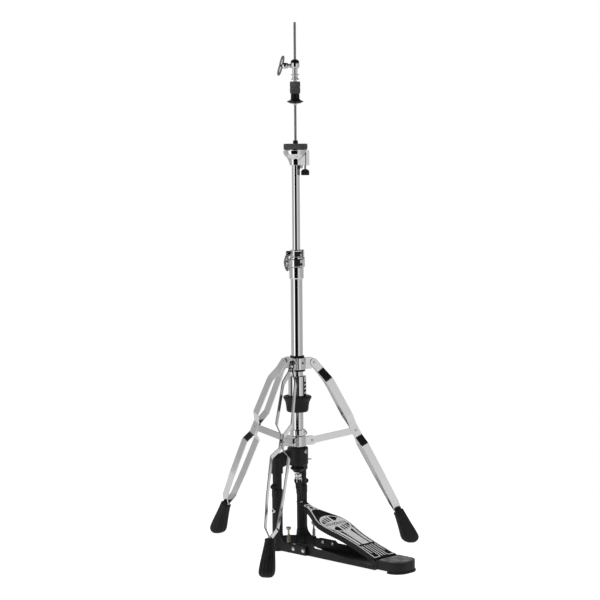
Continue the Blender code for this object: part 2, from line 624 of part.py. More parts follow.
def build_clutch_nuts_and_felts(parent):
    bore = CLUTCH_THREAD_R + GAP
    for label, top, flip in (("upper", LOCK_NUT_TOP, 1.0),
                             ("lower", LOCK_NUT_TOP - LOCK_NUT_HEIGHT - GAP, -1.0)):
        middle = top - LOCK_NUT_HEIGHT / 2.0
        half = LOCK_NUT_HEIGHT / 2.0
        outline = [(bore, middle - half * flip), (7.2 * MM, middle - half * flip),
                   (7.2 * MM, middle - half * 0.2 * flip),
                   (LOCK_NUT_R, middle + half * 0.75 * flip), (LOCK_NUT_R, middle + half * flip),
                   (bore, middle + half * flip)]
        finish(lathe(outline, 16, closed=True), "clutch_lock_nut_" + label, "chrome", parent)
    for label, top in (("upper", CLUTCH_FELT_TOP),
                       ("lower", CLUTCH_FELT_TOP - CLUTCH_FELT_HEIGHT - GAP)):
        felt = ring(bore, CLUTCH_FELT_R, top - CLUTCH_FELT_HEIGHT, top, 20)
        finish(felt, "clutch_felt_" + label, "felt", parent)
    top = CLUTCH_FELT_TOP - 2.0 * (CLUTCH_FELT_HEIGHT + GAP)
    low = BOTTOM_NUT_BOTTOM
    outline = [(bore, low), (BOTTOM_NUT_FLANGE_R - 9.0 * MM, low),
               (BOTTOM_NUT_FLANGE_R, low + 4.5 * MM),
               (BOTTOM_NUT_FLANGE_R, low + 6.0 * MM), (BOTTOM_NUT_R + 1.5 * MM, low + 9.5 * MM),
               (BOTTOM_NUT_R, low + 11.0 * MM), (BOTTOM_NUT_R, top - GAP), (bore, top - GAP)]
    finish(lathe(outline, 24, closed=True), "clutch_bottom_nut", "black_plastic", parent)


# ---------------------------------------------------------------- tripod
def rivet(half_grip, shank_r=RIVET_R):
    """Rivet along Y through x = z = 0: two domed heads and a shank."""
    heads = []
    for side in (-1.0, 1.0):
        start = half_grip if side > 0.0 else -half_grip - RIVET_HEAD_HEIGHT
        heads.append(across(0.0, 0.0, start, start + RIVET_HEAD_HEIGHT, RIVET_HEAD_R, 12))
    shank = across(0.0, 0.0, -half_grip - 0.5 * MM, half_grip + 0.5 * MM, shank_r, 12)
    return fused(shank, *heads)


def leg_points():
    """Knee, mid pivot and foot end from the leg's hinge, in the leg's own plane."""
    knee = Vector((KNEE_R - HINGE_R, KNEE_Z - HINGE_Z))
    end = Vector((LEG_END_R - HINGE_R, LEG_END_Z - HINGE_Z))
    middle = knee.lerp(end, MID_PIVOT_FRACTION)
    return knee, middle, end


def strip_stations():
    """Along one strip: distance from the hinge, and its sideways offset from the leg's plane."""
    knee, middle, end = leg_points()
    to_knee = knee.length
    to_middle = to_knee + (middle - knee).length
    to_end = to_knee + (end - knee).length
    hinge_offset = TOP_COLLAR_LUG + 0.45 * MM + STRIP_THICKNESS / 2.0
    pinch = BRACE_THICKNESS / 2.0 + 0.65 * MM + STRIP_THICKNESS / 2.0
    tongue = 0.4 * MM + STRIP_THICKNESS / 2.0
    return [
        (-STRIP_WIDTH * 0.5, hinge_offset), (STRIP_WIDTH * 0.5, hinge_offset),
        (to_knee * 0.55, 8.5 * MM),
        (to_knee, 13.0 * MM), (to_knee + 20.0 * MM, 15.5 * MM), (to_middle - 44.0 * MM, 19.0 * MM),
        (to_middle - 17.0 * MM, pinch), (to_middle + 17.0 * MM, pinch),
        (to_middle + 37.0 * MM, 21.5 * MM),
        (to_end - 100.0 * MM, 19.5 * MM), (to_end - 28.0 * MM, 14.5 * MM), (to_end - 7.5 * MM, tongue),
        (to_end + LEG_TONGUE, tongue),
    ]


def strip_line(distance):
    """Centre line of a strip in the leg's plane, with its direction."""
    knee, _, end = leg_points()
    first = knee.normalized()
    second = (end - knee).normalized()
    if distance < knee.length - 1e-6:
        return first * distance, first
    if distance < knee.length + 1e-6:
        return knee, (first + second).normalized()
    return knee + second * (distance - knee.length), second


def strip_body(side):
    """One flat strip: 19 mm wide in the leg's plane, bent sideways by its stations."""
    rings = []
    for distance, offset in strip_stations():
        centre, along = strip_line(distance)
        normal = Vector((-along.y, along.x))
        low = centre - normal * (STRIP_WIDTH / 2.0)
        high = centre + normal * (STRIP_WIDTH / 2.0)
        near = side * (offset - STRIP_THICKNESS / 2.0)
        far = side * (offset + STRIP_THICKNESS / 2.0)
        rings.append([(low.x, near, low.y), (high.x, near, high.y), (high.x, far, high.y),
                      (low.x, far, low.y)])
    return loft(rings)


def build_leg(name, azimuth, parent):
    """Two bent strips riveted to a collar lug, and a rubber foot."""
    axis = empty("leg_hinge_" + name, parent,
                 (HINGE_R * math.cos(azimuth), HINGE_R * math.sin(azimuth), HINGE_Z), azimuth)
    _, middle, _ = leg_points()
    hinge_grip = TOP_COLLAR_LUG + 0.45 * MM + STRIP_THICKNESS
    pinch_grip = BRACE_THICKNESS / 2.0 + 0.65 * MM + STRIP_THICKNESS
    for label, side in (("a", 1.0), ("b", -1.0)):
        body = strip_body(side)
        if side > 0.0:
            shank_end = -(TOP_COLLAR_LUG + 0.15 * MM)
            body = fused(body, across(0.0, 0.0, shank_end, hinge_grip + RIVET_HEAD_HEIGHT, RIVET_R, 12))
        head_start = side * (hinge_grip - 0.5 * MM)
        head_end = side * (hinge_grip + RIVET_HEAD_HEIGHT)
        body = fused(body, across(0.0, 0.0, min(head_start, head_end), max(head_start, head_end),
                                  RIVET_HEAD_R, 12))
        head_start = side * (pinch_grip - 0.5 * MM)
        head_end = side * (pinch_grip + RIVET_HEAD_HEIGHT)
        body = fused(body, across(middle.x, middle.y, min(head_start, head_end),
                                  max(head_start, head_end), RIVET_HEAD_R, 12))
        finish(body, "leg_" + name + "_strip_" + label, "satin_steel", axis)
    build_foot(name, axis)


def foot_sections():
    """Chords of the rubber foot in the leg's plane, from the collar down: inner and outer (r, z)
    points from the leg's end, and the half width across the leg."""
    return [
        ((-10.9, -1.4), (7.6, 7.6), 10.5), ((-13.4, -6.4), (11.1, 5.6), 12.4),
        ((-10.4, -13.4), (17.1, -1.4), 12.6), ((-8.9, -15.4), (17.1, -3.9), 12.0),
        ((-2.7, -33.3), (31.1, -27.9), 15.0), ((5.7, -64.9), (49.6, -58.9), 19.0),
        ((9.6, -70.9), (51.6, -66.4), 18.6), ((16.1, -74.9), (46.6, -74.3), 16.0),
        ((24.6, -78.4), (37.6, -78.9), 8.0),
    ]


def build_foot(name, axis):
    steps = 14
    leg_end = Vector((LEG_END_R - HINGE_R, LEG_END_Z - HINGE_Z))
    rings = []
    for inner, outer, half in foot_sections():
        low = Vector(inner) * MM + leg_end
        high = Vector(outer) * MM + leg_end
        centre = (low + high) / 2.0
        reach = (high - low) / 2.0
        points = []
        for k in range(steps):
            angle = math.tau * k / steps
            flat = centre + reach * math.cos(angle)
            points.append((flat.x, half * MM * math.sin(angle), flat.y))
        rings.append(points)
    body = loft(rings)
    pocket_half = STRIP_THICKNESS + 0.4 * MM + GAP
    knee, _, end = leg_points()
    direction = (end - knee).normalized()
    turn = math.atan2(direction.y, direction.x)
    pocket = box((-40.0 * MM, -pocket_half, -STRIP_WIDTH / 2.0 - GAP),
                 (LEG_TONGUE + 1.0 * MM, pocket_half, STRIP_WIDTH / 2.0 + GAP))
    pocket = placed(pocket, Matrix.Translation((end.x, 0.0, end.y)) @ Matrix.Rotation(-turn, 4, "Y"))
    finish(cut(body, pocket), "foot_" + name, "rubber", axis)


def collar_lug():
    """Hinge lug of the top collar along +X, bored for the rivet, about the column's axis."""
    height = TOP_COLLAR_TOP - TOP_COLLAR_BOTTOM
    outline = [(17.0 * MM, TOP_COLLAR_BOTTOM + 1.0 * MM), (33.0 * MM, TOP_COLLAR_BOTTOM + 1.0 * MM)]
    outline += arc((HINGE_R, HINGE_Z), 8.6 * MM, -50.0, 80.0, 6)
    outline += [(36.0 * MM, TOP_COLLAR_BOTTOM + height - 1.0 * MM),
                (17.0 * MM, TOP_COLLAR_BOTTOM + height - 1.0 * MM)]
    plate = prism(outline, 2.0 * TOP_COLLAR_LUG, "XZ", -TOP_COLLAR_LUG)
    return cut(plate, across(HINGE_R, HINGE_Z, -10.0 * MM, 10.0 * MM, RIVET_R + 0.3 * MM, 12))


def build_top_collar(parent):
    bore = LOWER_TUBE_R + RUNNING
    body = ring(bore, TOP_COLLAR_R, TOP_COLLAR_BOTTOM, TOP_COLLAR_TOP)
    for azimuth in LEG_AZIMUTHS.values():
        body = fused(body, placed(collar_lug(), Matrix.Rotation(azimuth, 4, "Z")))
    finish(body, "top_collar", "chrome", parent)
    finish(ring(bore, 17.4 * MM, TOP_COLLAR_TOP + GAP, TOP_COLLAR_TOP + 4.0 * MM), "top_collar_ring",
           "black_plastic", parent)
    finish(ring(bore, 19.6 * MM, TOP_COLLAR_BOTTOM - 4.0 * MM, TOP_COLLAR_BOTTOM - GAP),
           "lower_collar_ring", "black_plastic", parent)
    for name, azimuth in LEG_AZIMUTHS.items():
        build_leg(name, azimuth, parent)


def collar_clevis():
    """Two ears of the lower collar with the brace's rivet between them, along +X."""
    gap_half = BRACE_THICKNESS / 2.0 + GAP
    ear = 2.2 * MM
    outline = [(15.5 * MM, BRACE_Z - BRACE_END_R)]
    outline += arc((BRACE_R, BRACE_Z), BRACE_END_R, -90.0, 90.0, 8)
    outline += [(15.5 * MM, BRACE_Z + BRACE_END_R)]
    solid = prism(outline, 2.0 * (gap_half + ear), "XZ", -gap_half - ear)
    slot = box((BRACE_R - BRACE_END_R - 2.0 * MM, -gap_half, BRACE_Z - 20.0 * MM),
               (80.0 * MM, gap_half, BRACE_Z + 20.0 * MM))
    solid = cut(solid, slot)
    pin = placed(rivet(gap_half + ear - 0.2 * MM), Matrix.Translation((BRACE_R, 0.0, BRACE_Z)))
    return fused(solid, pin)


def build_lower_collar(parent):
    bore = LOWER_TUBE_R + RUNNING
    body = ring(bore, LOWER_COLLAR_R, LOWER_COLLAR_BOTTOM, LOWER_COLLAR_TOP)
    for azimuth in LEG_AZIMUTHS.values():
        body = fused(body, placed(collar_clevis(), Matrix.Rotation(azimuth, 4, "Z")))
    finish(body, "lower_collar", "chrome", parent)
    for name, azimuth in LEG_AZIMUTHS.items():
        build_brace(name, azimuth, parent)


def build_brace(name, azimuth, parent):
    """Flat brace from the lower collar to the leg's middle, made along +X from its own pivot."""
    _, middle, _ = leg_points()
    reach = Vector((HINGE_R + middle.x - BRACE_R, HINGE_Z + middle.y - BRACE_Z))
    half = BRACE_WIDTH / 2.0
    outline = arc((0.0, 0.0), half, 90.0, 270.0, 6) + arc((reach.length, 0.0), half, -90.0, 90.0, 6)
    body = prism(outline, BRACE_THICKNESS, "XZ", -BRACE_THICKNESS / 2.0)
    body = cut(body, across(0.0, 0.0, -10.0 * MM, 10.0 * MM, RIVET_R + 0.3 * MM, 12))
    place = (BRACE_R * math.cos(azimuth), BRACE_R * math.sin(azimuth), BRACE_Z)
    axis = empty("brace_hinge_" + name, parent, place, azimuth)
    slope = math.atan2(reach.y, reach.x)
    finish(body, "brace_" + name, "satin_steel", axis, rotation=(0.0, -slope, 0.0))


# ---------------------------------------------------------------- spring tension
def build_spring_sleeve(parent):
    """Notched sleeve on the lower tube; the tension knob hooks into its notches."""
    wall = 2.0 * MM
    plate = 4.0 * MM
    bore = LOWER_TUBE_R + GAP
    outline = [(bore, SPRING_SLEEVE_TOP - plate), (bore, SPRING_SLEEVE_TOP),
               (SPRING_SLEEVE_R - 1.5 * MM, SPRING_SLEEVE_TOP),
               (SPRING_SLEEVE_R, SPRING_SLEEVE_TOP - 1.5 * MM), (SPRING_SLEEVE_R, SPRING_SLEEVE_BOTTOM),
               (SPRING_SLEEVE_R - wall, SPRING_SLEEVE_BOTTOM),
               (SPRING_SLEEVE_R - wall, SPRING_SLEEVE_TOP - plate)]
    body = lathe(outline, 28, closed=True)
    slot_top = SPRING_SLEEVE_TOP - plate - 3.0 * MM
    slot = box((-1.8 * MM, -30.0 * MM, SPRING_SLEEVE_BOTTOM - 5.0 * MM),
               (1.8 * MM, -15.0 * MM, slot_top))
    body = cut(body, slot)
    notch_pitch = 10.4 * MM
    for i in range(4):
        low = SPRING_SLEEVE_BOTTOM + 1.0 * MM + notch_pitch * i
        tooth = [(0.0, low), (11.5 * MM, low + 2.0 * MM), (11.5 * MM, low + 5.5 * MM),
                 (0.0, low + 5.0 * MM)]
        body = cut(body, prism(tooth, 20.0 * MM, "XZ", -32.0 * MM))
    finish(body, "spring_sleeve", "chrome", parent)


def build_tension_knob(parent):
    bore = LOWER_TUBE_R + 0.7 * MM
    cup = SPRING_SLEEVE_R + 0.8 * MM
    z = KNOB_BOTTOM
    top = KNOB_BOTTOM + KNOB_HEIGHT
    outline = [
        (bore, z), (24.0 * MM, z), (26.0 * MM, z + 2.0 * MM), (27.5 * MM, z + 10.0 * MM),
        (28.6 * MM, z + 22.0 * MM),
        (31.5 * MM, z + 29.0 * MM), (KNOB_LIP_R - 0.6 * MM, top - 6.5 * MM),
        (KNOB_LIP_R, top - 4.0 * MM),
        (KNOB_LIP_R - 1.5 * MM, top - 1.0 * MM), (KNOB_LIP_R - 5.0 * MM, top), (cup, top - 1.5 * MM),
        (cup, z + KNOB_FLOOR), (bore, z + KNOB_FLOOR),
    ]
    finish(lathe(outline, 28, closed=True), "tension_knob", "rubber", parent)


def build_lock_ring(parent):
    """Memory lock that carries the lower collar's height on the tube."""
    bottom = LOWER_COLLAR_TOP + GAP
    top = LOWER_COLLAR_TOP + LOCK_RING_HEIGHT
    azimuth = math.radians(-72.0)
    body = ring(LOWER_TUBE_R + GAP, 18.0 * MM, bottom, top)
    frame = lying(azimuth, (0.0, 0.0, (bottom + top) / 2.0))
    boss = placed(box((-5.0 * MM, -6.0 * MM, 15.5 * MM), (5.0 * MM, 6.0 * MM, 21.0 * MM)), frame)
    hole = placed(bar(2.2 * MM + GAP, 17.2 * MM, 25.0 * MM, 12), frame)
    body = cut(fused(body, boss), hole)
    finish(body, "lock_ring", "chrome", parent)
    screw = [(0.0, 17.5 * MM), (2.2 * MM, 17.5 * MM), (2.2 * MM, 21.0 * MM + GAP),
             (3.4 * MM, 21.0 * MM + GAP),
             (3.4 * MM, 23.6 * MM), (2.4 * MM, 24.6 * MM), (0.0, 24.6 * MM)]
    finish(placed(lathe(screw, 12), frame), "lock_ring_screw", "black_plastic", parent)


# ---------------------------------------------------------------- hub and posts
def hub_arm(side):
    """Shoulder from the hub down to one post's socket."""
    place = Vector((side * POST_X, POST_Y, 0.0))
    along = place.normalized()
    across_arm = UP.cross(along)
    rings = []
    for reach, half, low, high in ((0.0, 18.0, 215.0, 255.0), (0.45, 16.5, 214.0, 252.0),
                                   (0.8, 14.0, 207.0, 244.0), (1.0, 12.5, 203.0, 240.0)):
        centre = place * reach
        points = []
        middle = (low + high) / 2.0
        for k in range(12):
            angle = math.tau * k / 12.0
            flat = centre + across_arm * (half * MM * math.cos(angle) * 1.05)
            height = (middle + (high - low) * 0.5 * max(-0.92, min(0.92, math.sin(angle) * 1.15))) * MM
            points.append((flat.x, flat.y, height))
        rings.append(points)
    return loft(rings)


def build_hub(parent):
    """Casting under the tripod that holds the column and both posts."""
    outline = [(0.0, HUB_BOTTOM), (HUB_R - 3.0 * MM, HUB_BOTTOM), (HUB_R, HUB_BOTTOM + 3.0 * MM),
               (HUB_R, HUB_TOP - 1.5 * MM), (HUB_R - 1.5 * MM, HUB_TOP), (0.0, HUB_TOP)]
    body = lathe(outline, 28)
    for side in (-1.0, 1.0):
        socket = [(0.0, SOCKET_BOTTOM), (SOCKET_R, SOCKET_BOTTOM), (SOCKET_R, SOCKET_TOP - 7.0 * MM),
                  (SOCKET_R - 4.0 * MM, SOCKET_TOP - 1.5 * MM), (0.0, SOCKET_TOP)]
        post = placed(lathe(socket, 20), Matrix.Translation((side * POST_X, POST_Y, 0.0)))
        body = fused(body, hub_arm(side), post)
    for side in (-1.0, 1.0):
        bore = placed(bar(POST_R + GAP, SOCKET_BOTTOM - 10.0 * MM, SOCKET_TOP - 16.0 * MM, 20),
                      Matrix.Translation((side * POST_X, POST_Y, 0.0)))
        body = cut(body, bore)
    tube_floor = HUB_BOTTOM + 4.0 * MM - GAP
    body = cut(body, bar(LOWER_TUBE_R + GAP, tube_floor, HUB_TOP + 10.0 * MM, 24))
    body = cut(body, bar(ROD_R + 3.0 * MM, HUB_BOTTOM - 10.0 * MM, HUB_TOP, 16))
    finish(body, "hub_casting", "black_casting", parent)
    guide_top = HUB_BOTTOM - GAP
    guide = [(ROD_R + 0.8 * MM, guide_top - 18.0 * MM), (10.0 * MM, guide_top - 18.0 * MM),
             (13.0 * MM, guide_top - 12.0 * MM),
             (18.0 * MM, guide_top - 8.5 * MM), (18.0 * MM, guide_top - 6.0 * MM),
             (15.0 * MM, guide_top),
             (ROD_R + 0.8 * MM, guide_top)]
    finish(lathe(guide, 24, closed=True), "rod_guide", "black_plastic", parent)


def build_posts(parent):
    """Two posts from the hub to the hoop: an upper tube with a screw boss in a lower sleeve."""
    overlap = 20.0 * MM
    for label, side in (("left", -1.0), ("right", 1.0)):
        place = (side * POST_X, POST_Y, 0.0)
        azimuth = 0.0 if side > 0.0 else math.pi
        upper = bar(POST_R, POST_SPLIT_Z - overlap, SOCKET_TOP - 16.0 * MM - GAP, 20)
        boss = placed(bar(6.0 * MM, POST_R - 3.0 * MM, POST_R + 8.0 * MM, 12),
                      lying(azimuth, (0.0, 0.0, POST_SPLIT_Z + 7.0 * MM)))
        finish(fused(upper, boss), "post_" + label, "black_casting", parent, place)
        outline = [(0.0, POST_FOOT_Z), (POST_SLEEVE_R, POST_FOOT_Z),
                   (POST_SLEEVE_R, POST_SPLIT_Z - 4.0 * MM),
                   (POST_R + GAP + 0.8 * MM, POST_SPLIT_Z), (POST_R + GAP, POST_SPLIT_Z),
                   (POST_R + GAP, POST_SPLIT_Z - overlap - GAP), (0.0, POST_SPLIT_Z - overlap - GAP)]
        sleeve = lathe(outline, 20)
        bolt = placed(bar(4.6 * MM, POST_SLEEVE_R - 3.0 * MM, POST_SLEEVE_R + 3.6 * MM, 12),
                      lying(azimuth, (0.0, 0.0, 102.0 * MM)))
        bore = bar(POST_R + GAP, POST_SPLIT_Z - overlap - GAP, POST_SPLIT_Z + 10.0 * MM, 20)
        finish(cut(fused(sleeve, bolt), bore), "post_sleeve_" + label, "black_casting", parent,
               place)


# ---------------------------------------------------------------- base
def hoop_line():
    """Centre line of the hoop in plan, from the right arm's front round the back to the left."""
    half = HOOP_HALF_WIDTH - HOOP_THICKNESS / 2.0
    back = HOOP_BACK_Y - 10.0 * MM
    points = [(half, HOOP_FRONT_Y), (half, SPUR_Y - 6.0 * MM)]
    for i in range(11):
        angle = math.pi * i / 10.0
        points.append((half * math.cos(angle), 10.0 * MM + back * math.sin(angle)))
    points += [(-half, SPUR_Y - 6.0 * MM), (-half, HOOP_FRONT_Y)]
    return [Vector(point) for point in points]


def build_hoop(parent):
    """Cast hoop round the back of the base; it holds the posts and the spurs."""
    line = hoop_line()
    rings = []
    for i, point in enumerate(line):
        before = line[max(i - 1, 0)]
        after = line[min(i + 1, len(line) - 1)]
        along = (after - before).normalized()
        normal = Vector((-along.y, along.x)) * (HOOP_THICKNESS / 2.0)
        inner = point + normal
        outer = point - normal
        rings.append([(inner.x, inner.y, HOOP_BOTTOM), (inner.x, inner.y, HOOP_TOP),
                      (outer.x, outer.y, HOOP_TOP - 2.0 * MM),
                      (outer.x, outer.y, HOOP_BOTTOM + 1.0 * MM)])
    body = loft(rings)
    for side in (-1.0, 1.0):
        foot = [(0.0, HOOP_BOTTOM + 2.0 * MM), (SOCKET_R, HOOP_BOTTOM + 2.0 * MM),
                (SOCKET_R, POST_FOOT_Z - 10.0 * MM),
                (POST_SLEEVE_R, POST_FOOT_Z - GAP), (0.0, POST_FOOT_Z - GAP)]
        body = fused(body, placed(lathe(foot, 20), Matrix.Translation((side * POST_X, POST_Y, 0.0))))
        lug = placed(bar(6.5 * MM, HOOP_BOTTOM + 4.0 * MM, HOOP_TOP + 3.0 * MM, 12),
                     Matrix.Translation((side * SPUR_X, SPUR_Y, 0.0)))
        body = fused(body, lug)
    for side in (-1.0, 1.0):
        hole = placed(bar(SPUR_R + 0.3 * MM, -10.0 * MM, HOOP_TOP + 20.0 * MM, 12),
                      Matrix.Translation((side * SPUR_X, SPUR_Y, 0.0)))
        body = cut(body, hole)
    finish(body, "base_hoop", "black_casting", parent)


def channel_half_width(y):
    """Inner half width of the channel: between the hoop's arms, narrower at the heel."""
    front = HOOP_HALF_WIDTH - HOOP_THICKNESS - GAP - CHANNEL_WALL
    share = (y - HOOP_FRONT_Y) / (CHANNEL_HEEL_Y - HOOP_FRONT_Y)
    share = min(max(share, 0.0), 1.0)
    return front + (CHANNEL_HEEL_HALF_WIDTH - CHANNEL_WALL - front) * share


def build_channel(parent):
    """Sheet channel from the hoop to the heel: two walls and a floor, open inside the hoop."""
    top_front = HOOP_TOP + 3.0 * MM
    floor_top = HOOP_BOTTOM + CHANNEL_WALL
    rings = []
    for y, top in ((CHANNEL_FRONT_Y, top_front - 6.0 * MM), (HOOP_FRONT_Y, top_front),
                   (-120.0 * MM, 25.0 * MM), (-200.0 * MM, 17.5 * MM), (CHANNEL_HEEL_Y, 11.0 * MM)):
        inner = channel_half_width(y)
        outer = inner + CHANNEL_WALL
        rings.append([(-outer, y, HOOP_BOTTOM), (outer, y, HOOP_BOTTOM), (outer, y, top),
                      (inner, y, top),
                      (inner, y, floor_top), (-inner, y, floor_top), (-inner, y, top),
                      (-outer, y, top)])
    body = loft(rings)
    window = box((-34.0 * MM, CHANNEL_WINDOW_Y, -10.0 * MM), (34.0 * MM, 0.0, 8.0 * MM))
    finish(cut(body, window), "base_channel", "black_casting", parent)


def heel_outline(grow, front, end):
    """Plan of the heel plate: square at the front, rounded behind."""
    half = HEEL_HALF_WIDTH + grow
    corner = 30.0 * MM + grow
    tip = end - grow
    points = [(half, front)]
    points += arc((half - corner, tip + corner), corner, 0.0, -90.0, 6)
    points += arc((-half + corner, tip + corner), corner, -90.0, -180.0, 6)
    points += [(-half, front)]
    return points


def build_heel(parent):
    """Heel plate with two ears for the pedal's pin, on a rubber pad that stands on the floor."""
    end = HEEL_END_Y + HEEL_RUBBER_LIP
    plate = prism(heel_outline(0.0, HEEL_FRONT_Y, end), HEEL_TOP - HEEL_RUBBER_HEIGHT - GAP, "XY",
                  HEEL_RUBBER_HEIGHT + GAP)
    half = HEEL_HALF_WIDTH
    inside = half - 2.2 * MM
    outside = CHANNEL_HEEL_HALF_WIDTH - CHANNEL_WALL - GAP
    ears = []
    for side in (-1.0, 1.0):
        low_x = min(side * inside, side * outside)
        high_x = max(side * inside, side * outside)
        low = (low_x, HEEL_FRONT_Y - 4.0 * MM, HEEL_RUBBER_HEIGHT + 6.0 * MM)
        ears.append(box(low, (high_x, PEDAL_PIVOT_Y + 6.0 * MM, HEEL_TOP - 1.0 * MM)))
    body = fused(plate, *ears)
    turn = Matrix.Translation((0.0, PEDAL_PIVOT_Y, PEDAL_PIVOT_Z)) @ Matrix.Rotation(math.pi / 2.0, 4,
                                                                                     "Y")
    body = cut(body, placed(bar(PIN_R + GAP, -60.0 * MM, 60.0 * MM, 12), turn))
    finish(body, "heel_plate", "black_casting", parent)
    pad = prism(heel_outline(HEEL_RUBBER_LIP, HEEL_FRONT_Y - 34.0 * MM, end), HEEL_RUBBER_HEIGHT, "XY",
                0.0)
    finish(pad, "heel_rubber", "rubber", parent)
    pin = bar(PIN_R, -half, half, 12)
    finish(placed(pin, turn), "heel_hinge_pin", "satin_steel", parent)


def build_spurs(parent):
    """Threaded floor spurs with round heads, through the hoop's lugs."""
    for label, side in (("left", -1.0), ("right", 1.0)):
        outline = [(0.0, 1.0 * MM), (SPUR_R, 6.0 * MM), (SPUR_R, SPUR_TOP - 11.0 * MM),
                   (3.4 * MM, SPUR_TOP - 9.0 * MM),
                   (SPUR_HEAD_R, SPUR_TOP - 5.0 * MM), (SPUR_HEAD_R, SPUR_TOP - 2.5 * MM),
                   (4.0 * MM, SPUR_TOP), (0.0, SPUR_TOP)]
        finish(lathe(outline, 14), "spur_" + label, "zinc", parent, (side * SPUR_X, SPUR_Y, 0.0))


# ---------------------------------------------------------------- footboard
def pedal_half_width(u):
    """Half width of the footboard at a distance from its heel end, read off a smooth outline."""
    stations = [(0.0, 36.2), (25.0, 33.6), (60.0, 31.6), (100.0, 32.4), (125.0, 35.6), (150.0, 41.0),
                (170.0, 43.8),
                (188.0, 43.2), (205.0, 37.0), (222.0, 28.0), (240.0, 19.0), (256.0, 12.6),
                (275.0, 10.6)]
    share = u / PEDAL_LENGTH * stations[-1][0]
    for (u0, w0), (u1, w1) in zip(stations, stations[1:]):
        if share <= u1:
            blend = (share - u0) / (u1 - u0)
            return (w0 + (w1 - w0) * blend) * MM
    return stations[-1][1] * MM


def toe_ears(top):
    """Two ears at the toe end that hold the chain's last link between them."""
    pin_y = CHAIN_PIN_LENGTH * math.sin(CHAIN_TILT) - PEDAL_PIVOT_Y
    pin_z = CHAIN_PIVOT_Z - CHAIN_PIN_LENGTH * math.cos(CHAIN_TILT) - PEDAL_PIVOT_Z
    reach = math.hypot(pin_y, pin_z)
    angle = math.atan2(pin_z, pin_y) - PEDAL_SLOPE
    pin_u = reach * math.cos(angle)
    pin_v = reach * math.sin(angle)
    inside = CHAIN_WIDTH / 2.0 + 0.5 * MM
    outside = inside + 2.4 * MM
    ears = []
    for side in (-1.0, 1.0):
        low_x = min(side * inside, side * outside)
        high_x = max(side * inside, side * outside)
        low = (low_x, PEDAL_LENGTH - 14.0 * MM, top - PEDAL_THICKNESS)
        ears.append(box(low, (high_x, pin_u + 3.0 * MM, max(top + 1.0 * MM, pin_v + 4.0 * MM))))
    return ears


def build_footboard(parent):
    """Pressed tray: a plate with a skirt round its underside, hinged on the heel pin."""
    axis = empty("pedal_axis", parent, (0.0, PEDAL_PIVOT_Y, PEDAL_PIVOT_Z))
    top = PEDAL_TOP_OFFSET
    low = top - PEDAL_THICKNESS
    count = 20
    rings = []
    skirt = 3.0 * MM
    for i in range(count + 1):
        u = PEDAL_LENGTH * i / count
        y = u - 3.0 * MM
        half = pedal_half_width(u)
        depth = PEDAL_SKIRT if 1 < i < count else 0.5 * MM
        rings.append([(-half, y, top), (-half, y, low - depth), (-half + skirt, y, low - depth),
                      (-half + skirt, y, low),
                      (half - skirt, y, low), (half - skirt, y, low - depth), (half, y, low - depth),
                      (half, y, top)])
    body = loft(rings)
    knuckle_half = HEEL_HALF_WIDTH - 4.0 * MM - 0.6 * MM
    knuckle = placed(bar(5.6 * MM, -knuckle_half + 3.0 * MM, knuckle_half - 3.0 * MM, 14),
                     Matrix.Rotation(math.pi / 2.0, 4, "Y"))
    web = box((-knuckle_half + 6.0 * MM, -3.0 * MM, 0.0),
              (knuckle_half - 6.0 * MM, 5.0 * MM, low + 1.0 * MM))
    body = fused(body, knuckle, web, *toe_ears(top))
    body = cut(body, placed(bar(PIN_R + GAP, -60.0 * MM, 60.0 * MM, 12),
                            Matrix.Rotation(math.pi / 2.0, 4, "Y")))
    finish(body, "footboard", "pedal", axis, rotation=(PEDAL_SLOPE, 0.0, 0.0))


def build():
    stand = empty("column_axis", None, (0.0, COLUMN_Y, 0.0))
    build_base_tube(stand)
    build_tube_bushing(stand)
    build_height_clamp(stand)
    build_spring_sleeve(stand)
    build_lock_ring(stand)
    build_hub(stand)
    build_posts(stand)
    build_hoop(stand)
    build_channel(stand)
    build_heel(stand)
    build_spurs(stand)
    build_tension_knob(stand)
    build_footboard(stand)
    column = empty("upper_column", stand)
    build_upper_tube(column)
    build_seat_casting(column)
    build_tilt_knob(column)
    build_seat(column)
    build_memory_lock(column)
    rod = empty("rod_axis", stand)
    build_pull_rod(rod)
    build_chain(rod)
    build_clutch(rod)
    tripod = empty("tripod_axis", stand)
    build_lower_collar(tripod)
    build_top_collar(tripod)


for old in list(bpy.data.objects):
    bpy.data.objects.remove(old)
build()
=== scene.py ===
"""Looks of the hi-hat stand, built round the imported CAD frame.

Pieces are modelled in millimetres about the column's axis and scaled to metres when they are made.
Each one rides on its CAD body, and stands for the CAD nodes that it replaces.
"""

import json
import math
import random

import bmesh
import bpy
from mathutils import Matrix, Vector


